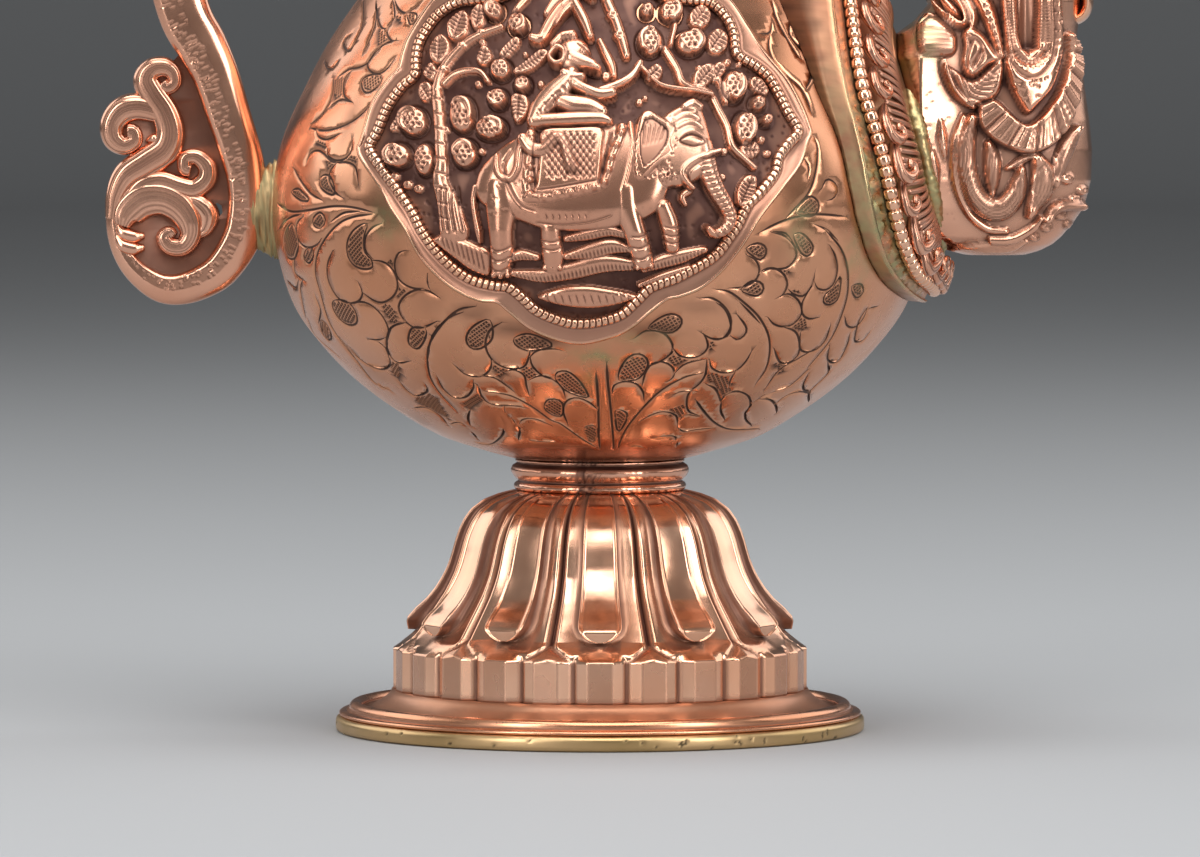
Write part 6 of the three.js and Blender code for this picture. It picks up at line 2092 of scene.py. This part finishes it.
def ribbed(parts, pixels, depth, ribs):
    """A grooved scroll through pixels with half widths, symmetric front to back."""
    pixels = np.array(pixels, float)
    pixels[:, :2] = pixels[:, :2] / DRAWING_SCALE + [DRAWING_LEFT, DRAWING_TOP]
    pixels[:, 2] *= SCROLL_FULLNESS / DRAWING_SCALE
    path = spline(pixels, 1.6)
    line = flat_place(path[:, :2])
    half = path[:, 2] * PIXEL_SIZE
    along = tangents(line)
    out = np.repeat([[0.0, -1.0, 0.0]], len(line), 0)
    across = unit(np.cross(along, out))
    sides = 56
    turn = np.arange(sides) * TAU / sides
    c, s = np.cos(turn), np.sin(turn)
    a = np.sign(c) * np.abs(c) ** 0.8
    o = np.sign(s) * np.abs(s) ** 0.62
    cut = np.zeros(sides)
    for k in range(ribs):
        at = (k + 0.5) / ribs * 1.7 - 0.85
        cut = np.maximum(cut, np.exp(-(((a - at) / 0.05) ** 2)) * (np.abs(s) > 0.2))
    thick = np.interp(half, [0.4, 1.2, 2.5], [0.55, 0.85, 1.0]) * depth
    groove = np.sign(s) * cut * RIB_DEPTH * (half[:, None] > 0.8)
    section = np.stack([a * half[:, None], o * thick[:, None] - groove], -1)
    points = sweep(line, across, out, section)
    # Painted shade along each scroll's sides, where it sinks to the web; the rib grooves hold patina and
    # painted shade
    edge = np.clip((0.45 - np.abs(s)) * 1.4, 0, 1)
    parts.grid(points, np.clip(0.75 * cut + edge, 0, 1))


# Recessed web between the bar and the scrolls, and the hole through it, in pixels
WEB = [
    (180, 54), (192, 70), (204, 98), (216, 128), (226, 158), (233, 183), (236, 200), (236, 217), (232, 240),
    (217, 260), (196, 275), (173, 279), (148, 273), (128, 256), (116, 236), (112, 211), (117, 190),
    (130, 170), (140, 156), (124, 141), (114, 127), (118, 113), (137, 107), (146, 92), (143, 76),
    (153, 65), (170, 65),
]
WEB_HOLE = [(213, 210), (217, 202), (222, 205), (223, 212), (219, 217), (214, 216)]
# The bar above the photograph as x, z and width in millimetres, and below as drawn pixels and width
BAR_TOP = [
    (-26.8, 182.1, 6.7), (-33, 182.2, 7.0), (-43, 184.4, 7.4), (-55, 186, 8.0), (-66.5, 185.4, 8.5),
    (-75.4, 181.9, 8.9), (-81.2, 176.2, 9.2), (-83.1, 169.5, 9.3), (-82.2, 161, 9.3), (-79.9, 152, 9.3),
    (-77.2, 143, 9.3), (-74.6, 134, 9.2),
]
BAR_DRAWN = [
    (400, -140, 240), (475, 0, 232), (541, 140, 214), (602, 330, 202), (656, 500, 192), (680, 620, 182),
    (683, 750, 176), (655, 890, 176), (570, 1025, 166), (480, 1088, 156), (380, 1122, 146), (290, 1118, 136),
    (205, 1070, 118), (135, 1000, 98), (88, 910, 82), (68, 810, 72), (74, 710, 66), (104, 620, 58),
    (150, 550, 44),
]
BAR_FRONT = [(-1, 0), (-1, 0.2), (-0.97, 0.4), (-0.87, 0.6), (-0.68, 0.78), (-0.42, 0.9), (-0.16, 0.975)]
BAR_SIDE = [(0.76, 0.97), (0.93, 0.74), (0.99, 0.6), (1, 0.3), (1, 0)]
# Scrolls as drawn pixels with half widths, then depth and number of ribs: the stem with the top
# volute, the left volute, the leaf with the right volute, the inner spiral, and small leaves
SCROLLS = [
    ([
        (60, 800, 22), (80, 690, 34), (130, 600, 46), (220, 540, 52), (305, 480, 54), (330, 400, 52),
        (305, 310, 50), (250, 225, 48), (222, 160, 44), (250, 112, 38), (305, 102, 34), (345, 130, 28),
        (350, 175, 26), (318, 195, 26), (296, 172, 22),
    ], 3.3, 5),
    ([
        (330, 350, 24), (260, 305, 40), (180, 285, 46), (108, 305, 46), (66, 365, 42), (72, 430, 38),
        (118, 462, 32), (165, 440, 30), (160, 402, 30), (135, 400, 30),
    ], 3.2, 5),
    ([
        (120, 720, 18), (190, 650, 34), (280, 622, 36), (370, 648, 36), (440, 660, 36), (495, 620, 36),
        (500, 560, 34), (455, 515, 30), (405, 520, 28), (400, 565, 28), (425, 575, 24),
    ], 3.25, 4),
    ([
        (110, 830, 30), (130, 770, 60), (200, 710, 66), (290, 700, 62), (365, 735, 58), (415, 800, 50),
        (425, 870, 40), (390, 925, 34), (330, 925, 32), (300, 885, 28), (325, 862, 24), (345, 880, 20),
    ], 3.3, 6),
    ([(400, 700, 16), (460, 730, 36), (500, 780, 40), (490, 840, 30), (450, 880, 14)], 3.0, 3),
    ([(88, 820, 10), (110, 862, 22), (160, 880, 24), (212, 876, 12)], 3.35, 0),
    ([(80, 872, 10), (110, 918, 22), (160, 936, 24), (212, 930, 12)], 3.3, 0),
    ([(150, 500, 10), (175, 540, 20), (205, 560, 10)], 3.4, 0),
    ([(222, 440, 8), (255, 430, 20), (290, 428, 10)], 3.4, 0),
]
LOWER_LUG = [
    (-61.2, 90, 2.6, 5.5), (-59.6, 90.2, 2.9, 6.6), (-58.2, 90.4, 3.0, 7.4), (-57, 90.6, 3.3, 8.2),
    (-55.4, 90.8, 3.6, 8.9),
]
UPPER_LUG = [
    (-27.2, 182.1, 3.3, 3.5), (-25, 182.1, 2.6, 2.9), (-21.5, 182.1, 2.4, 2.6), (-19, 182.1, 2.9, 3.0),
    (-17.7, 182.1, 3.4, 3.5),
]


def handle_piece():
    rng = random.Random(17)
    parts = Parts()
    drawn = np.array(BAR_DRAWN, float)
    corner = np.array([DRAWING_LEFT, DRAWING_TOP])
    low = flat_place(corner + drawn[:, :2] / DRAWING_SCALE)
    knots = BAR_TOP + [(p[0], p[2], w * DRAWN_SIZE) for p, w in zip(low, drawn[:, 2])]
    path = spline(knots, 0.3)
    path = even(path, 840)
    line = np.stack([path[:, 0], np.zeros(len(path)), path[:, 1]], -1)
    width = path[:, 2]
    along = tangents(line)
    out = np.repeat([[0.0, -1.0, 0.0]], len(line), 0)
    across = unit(np.cross(along, out))
    face = np.linspace(-0.08, 0.66, 13)
    front = np.array(BAR_FRONT + [(a, 1.0) for a in face] + BAR_SIDE)
    section = np.vstack([front, front[-2:0:-1] * [1, -1]])
    half = width[:, None] / 2
    thick = BAR_HALF_DEPTH * (width[:, None] / BAR_WIDTH) ** 0.45
    points = sweep(line, across, out, np.stack([section[:, 0] * half, section[:, 1] * thick], -1))
    dark = np.zeros(points.shape[:2])
    on_face = np.flatnonzero(np.abs(section[:, 1]) > 0.99)
    for _ in range(900):
        i = rng.randrange(4, len(line) - 4)
        start = rng.randrange(0, len(on_face) - 3)
        for j in on_face[start : start + rng.choice((2, 3, 3, 4))]:
            points[i, j, 1] *= 0.97
            dark[i, j] = 0.4
    pit_rows = [rng.randrange(0, len(line)) for _ in range(26)]
    for i in pit_rows:
        j = rng.choice(on_face)
        points[i : i + 2, j, 1] *= 0.88
        dark[i : i + 2, j] = 1
    # Painted shade on the sides of the bar, a little darker than its faces
    parts.grid(points, dark + 0.12 * (np.abs(section[None, :, 1]) < 0.7))
    for pixels, depth, ribs in SCROLLS:
        ribbed(parts, pixels, depth, ribs)
    # The recessed web is dark: patina and painted shade
    parts.slab(WEB, WEB_HOLE, 1.5, 0.85)
    parts.piece("scrolled_handle", "cast_copper", nodes=("handle",))


def lug_piece(name, node, slices, seed):
    """Brazing: a lumpy drop between the bar and the body. Slices give x, z, half width and half height."""
    rng = random.Random(seed)
    sides = 40
    turn = np.arange(sides) * TAU / sides
    rows = spline(slices, 0.35)
    lumps = np.array([[rng.uniform(-1, 1) for _ in range(sides)] for _ in rows])
    smooth = (lumps + np.roll(lumps, 1, 1) + np.roll(lumps, -1, 1)) / 3
    y = rows[:, 2][:, None] * np.cos(turn) * (1 + 0.16 * smooth)
    z = rows[:, 1][:, None] + rows[:, 3][:, None] * np.sin(turn) * (1 + 0.07 * smooth)
    x = np.repeat(rows[:, 0][:, None], sides, 1)
    parts = Parts()
    parts.grid(np.stack([x, y, z], -1), np.clip(0.45 + 0.7 * smooth, 0, 1))
    green = np.clip(0.25 + 0.6 * np.append(smooth.ravel(), [0, 0]), 0, 1)
    parts.piece(name, "brass_metal", nodes=(node,), stain=green)


handle_piece()
lug_piece("handle_brazing", "handle_lug", LOWER_LUG, 31)
lug_piece("upper_brazing", "handle_top_lug", UPPER_LUG, 32)


# Neck, mouth and lid

NECK_WALL = 1.4
NECK_LINE = [
    (17, 154.4), (15.6, 158.5), (14.9, 167.3), (14.9, 171.4), (16.2, 176.8), (18, 178.2), (18, 183),
    (17.6, 184.3), (19, 188.4),
]
NECK_GROOVES = [(166.8, 0.25), (176.9, 0.3), (178.3, 0.25), (183.2, 0.25)]
MOUTH_LINE = [
    (17.6, 188.45), (22, 188.3), (25.6, 187.9), (26.2, 187.1), (26.6, 186.95), (26.95, 187.4), (27, 188.6),
    (26.9, 189.6), (26.5, 190.2), (25.8, 190.38), (24.8, 190.1), (24.2, 190.3), (23.6, 190.4), (17.6, 190.4),
]
LID_PLATE = [
    (9.5, 190.45), (22.3, 190.45), (22.5, 190.8), (22.5, 191.5), (22.2, 192), (21.4, 192.15), (20.6, 191.9),
    (20.2, 192.15), (9.5, 192.15),
]
LID_PLUG = [
    (11.3, 190.35), (12.6, 190.3), (12.6, 187), (12.3, 182), (12.1, 178), (11.9, 177.4), (10.9, 177.4),
    (10.9, 178), (11.2, 187),
]
DOME_LINE = [
    (19, 192.2), (18.9, 193), (18.62, 194.4), (16.34, 197.7), (11.8, 200.6), (6.84, 202.3), (4.75, 203.2),
]
DOME_INSIDE = [(3.4, 203.15), (5.4, 201), (10.5, 198.8), (14.8, 196.2), (17.2, 193.4), (17.6, 192.25)]
LOTUS_LINE = [
    (4.1, 203.25), (5.6, 203.7), (7.0, 204.7), (7.4, 205.95), (6.6, 206.9), (5.9, 207.2), (5.2, 207.7),
    (4.1, 208.15),
]
LOTUS_CORE = [(1.2, 208.15), (1.2, 203.25)]
JEWEL_LINE = [
    (0.9, 208.25), (3.3, 208.3), (4.9, 209.6), (5.4, 212.2), (4.9, 214.6), (3.9, 217), (2.7, 219.8),
    (1.5, 222.4), (0.5, 223.9), (0.15, 224.2),
]
JEWEL_CORE = [(0.1, 224.1), (0.1, 208.3)]


def petals(profile, sides, count, depth, low, high, phase=0.0):
    """A turned shape whose surface swells in petals between two heights."""
    points, angle = lathe(profile, sides)
    z = points[..., 2]
    wave = np.abs(np.cos((angle + phase) * count / 2))
    fade = 0.15 * (high - low)
    inside_band = np.clip((z - low) / fade, 0, 1) * np.clip((high - z) / fade, 0, 1)
    valley = (1 - wave[None] ** 0.6) * inside_band
    # The valleys also darken the surface: patina and painted shade between the petals
    return points - outward(angle) * (depth * valley)[..., None], valley


def top_piece(name, points, slot, body, node, dark):
    tarnish = np.broadcast_to(dark, points.shape[:2]).ravel()
    turned_piece(name, points, slot, body=body, nodes=(node,), tarnish=tarnish)


def with_inside(points, dark, inside_line):
    """Rows of a turned surface and their darkness, followed by the rows of its plain inside."""
    inner = lathe(inside_line, points.shape[1])[0]
    return np.concatenate([points, inner]), np.concatenate([dark, np.full(inner.shape[:2], 0.5)])


def top_pieces():
    collar = [(15.4, 150.1), (18.2, 150.2)] + arc((18.1, 151.3), 1.2, -60, 60, 9) + [(18.2, 152.7)]
    collar += arc((17.9, 153.4), 0.8, -50, 80, 7) + [(15.4, 154.3)]
    points, dark = petals(collar, 288, 48, 0.35, 150.2, 152.6)
    top_piece("neck_ring", points, "cast_copper", "vase", "neck_collar", dark * 0.9)

    outer = spline(NECK_LINE, 0.35)
    points, dark = petals(outer, 288, 16, 0.8, 155.2, 166, 0.1)
    points_up, dark_up = petals(outer, 288, 36, 0.3, 178.6, 182.8)
    band = (points[..., 2] > 172)[..., None]
    points = np.where(band, points_up, points)
    dark = np.where(band[..., 0], dark_up, dark)
    for z, depth in NECK_GROOVES:
        line = np.exp(-(((points[..., 2] - z) / 0.3) ** 2))
        radial = unit(points * [1, 1, 0])
        points = points - radial * (depth * line)[..., None]
        # Patina and painted shade in the grooves
        dark = np.maximum(dark, 0.8 * line)
    whole, shade = with_inside(points, dark * 0.8, [(r - NECK_WALL, z) for r, z in outer[::-4]])
    top_piece("waisted_neck", whole, "raised_copper", "vase", "neck", shade)

    points, dark = petals(MOUTH_LINE, 360, 60, 0.25, 186.9, 189.8)
    top_piece("mouth_disc", points, "polished_copper", "vase", "mouth_plate", dark * 0.8)

    # Patina and painted shade in the dip beside the lid's rim
    rim = np.interp(np.arange(9), [5, 6, 7], [0, 1, 0])[:, None]
    top_piece("lid_disc", lathe(LID_PLATE, 240)[0], "raised_copper", "lid", "lid_plate", rim)
    top_piece("lid_sleeve", lathe(LID_PLUG, 160)[0], "raised_copper", "lid", "lid_plug", 0.4)

    points, dark = petals(spline(DOME_LINE, 0.3), 288, 16, 0.9, 192.9, 201.8)
    ridge = np.exp(-(((points[..., 2] - 193.4) / 0.35) ** 2))
    points = points - unit(points * [1, 1, 0]) * (0.25 * ridge)[..., None]
    # Patina and painted shade in the petal valleys and the groove above the rim
    whole, shade = with_inside(points, np.maximum(dark, ridge) * 0.8, DOME_INSIDE)
    top_piece("lid_cap", whole, "raised_copper", "lid", "lid_dome", shade)

    whole, shade = with_inside(*petals(spline(LOTUS_LINE, 0.25), 240, 10, 1.0, 203.2, 206.9), LOTUS_CORE)
    top_piece("finial_flower", whole, "cast_copper", "lid", "finial_lotus", shade)

    points, dark = petals(spline(JEWEL_LINE, 0.25), 200, 6, 0.45, 208.8, 221)
    whole, shade = with_inside(points, dark * 0.9, JEWEL_CORE)
    top_piece("finial_bud", whole, "polished_copper", "lid", "finial_jewel", shade)


top_pieces()


# Stage: paper, light and camera

PAPER_FRONT = 4.0
PAPER_BACK = 3.4
PAPER_BEND = 0.8
PAPER_RISE = 3.0
PAPER_HALF_WIDTH = 4.0
PAPER_COLOUR = (0.36, 0.37, 0.38)
PAPER_ROUGHNESS = 0.7
WORLD_LIGHT = 0.42
# Lamps as name, place, target, width and height in metres, and watts
LAMPS = [
    ("left_panel", (-1.0, 0.5, 0.6), (0, 0, 0.1), (1.3, 0.8), 4.5),
    ("right_panel", (1.0, 0.5, 0.6), (0, 0, 0.1), (1.3, 0.8), 4.5),
    ("left_box", (-0.7, -0.9, 0.5), (0, 0, 0.1), (0.35, 0.9), 5),
    ("right_box", (0.75, -0.75, 0.5), (0, 0, 0.1), (0.35, 0.9), 5.5),
    ("front_box", (0.1, -1.1, 1.3), (0, 0, 0.08), (1.0, 0.8), 9),
    ("top_box", (0.0, -0.1, 1.1), (0, 0, 0.1), (0.9, 0.8), 9),
]


def paper_material():
    """Plain paper whose roughness varies a little."""
    material = bpy.data.materials.new("paper")
    material.use_nodes = True
    nodes = material.node_tree.nodes
    link = material.node_tree.links.new
    noise = nodes.new("ShaderNodeTexNoise")
    socket(noise, "Scale", 30)
    ramp = nodes.new("ShaderNodeMapRange")
    socket(ramp, "To Min", PAPER_ROUGHNESS - 0.03)
    socket(ramp, "To Max", PAPER_ROUGHNESS + 0.03)
    link(noise.outputs["Fac"], ramp.inputs["Value"])
    link(ramp.outputs["Result"], nodes["Principled BSDF"].inputs["Roughness"])
    socket(nodes["Principled BSDF"], "Base Color", (*PAPER_COLOUR, 1))
    return material


def make_floor():
    """A sheet of paper that lies flat under the ewer and curves up far behind it."""
    lift = np.linspace(0, math.pi / 2, 24)
    run = [(-PAPER_FRONT, 0.0)] + [
        (PAPER_BACK + PAPER_BEND * math.sin(a), PAPER_BEND * (1 - math.cos(a))) for a in lift
    ]
    run.append((PAPER_BACK + PAPER_BEND, PAPER_BEND + PAPER_RISE))
    points = [(side * PAPER_HALF_WIDTH, depth, height) for depth, height in run for side in (-1, 1)]
    faces = [(2 * i, 2 * i + 1, 2 * i + 3, 2 * i + 2) for i in range(len(run) - 1)]
    paper = bpy.data.meshes.new("paper")
    paper.from_pydata(points, [], faces)
    paper.polygons.foreach_set("use_smooth", [True] * len(faces))
    floor = bpy.data.objects.new("paper", paper)
    paper.materials.append(paper_material())
    bpy.context.scene.collection.objects.link(floor)


def make_world():
    """Grey light from all sides, and a paler backdrop for the camera."""
    world = bpy.data.worlds.new("studio")
    bpy.context.scene.world = world
    world.use_nodes = True
    nodes = world.node_tree.nodes
    link = world.node_tree.links.new
    light = nodes["Background"]
    socket(light, "Color", (0.5, 0.5, 0.5, 1))
    socket(light, "Strength", WORLD_LIGHT)
    shown = nodes.new("ShaderNodeBackground")
    socket(shown, "Color", (0.8, 0.8, 0.8, 1))
    socket(shown, "Strength", 1.0)
    path = nodes.new("ShaderNodeLightPath")
    mixer = nodes.new("ShaderNodeMixShader")
    link(path.outputs["Is Camera Ray"], mixer.inputs["Fac"])
    link(light.outputs["Background"], mixer.inputs[1])
    link(shown.outputs["Background"], mixer.inputs[2])
    link(mixer.outputs["Shader"], nodes["World Output"].inputs["Surface"])


def softbox(name, place, target, size, watts):
    """A rectangular lamp that faces its target."""
    light = bpy.data.lights.new(name, "AREA")
    light.shape = "RECTANGLE"
    light.size, light.size_y = size
    light.energy = watts
    lamp = bpy.data.objects.new(name, light)
    lamp.location = place
    lamp.rotation_euler = (Vector(target) - Vector(place)).to_track_quat("-Z", "Y").to_euler()
    bpy.context.scene.collection.objects.link(lamp)


def make_camera():
    data = bpy.data.cameras.new("camera")
    data.sensor_width = SENSOR_WIDTH
    data.lens = FOCAL_PIXELS * SENSOR_WIDTH / IMAGE_WIDTH
    camera = bpy.data.objects.new("camera", data)
    camera.location = (0, -CAMERA_DISTANCE * METRE, CAMERA_HEIGHT * METRE)
    tilt = math.atan2(CAMERA_HEIGHT - AIM_HEIGHT, CAMERA_DISTANCE)
    camera.rotation_euler = Euler((math.pi / 2 - tilt, 0, 0))
    bpy.context.scene.collection.objects.link(camera)
    bpy.context.scene.camera = camera


make_floor()
make_world()
for lamp in LAMPS:
    softbox(*lamp)
make_camera()

scene = bpy.context.scene
scene.view_settings.view_transform = "Standard"
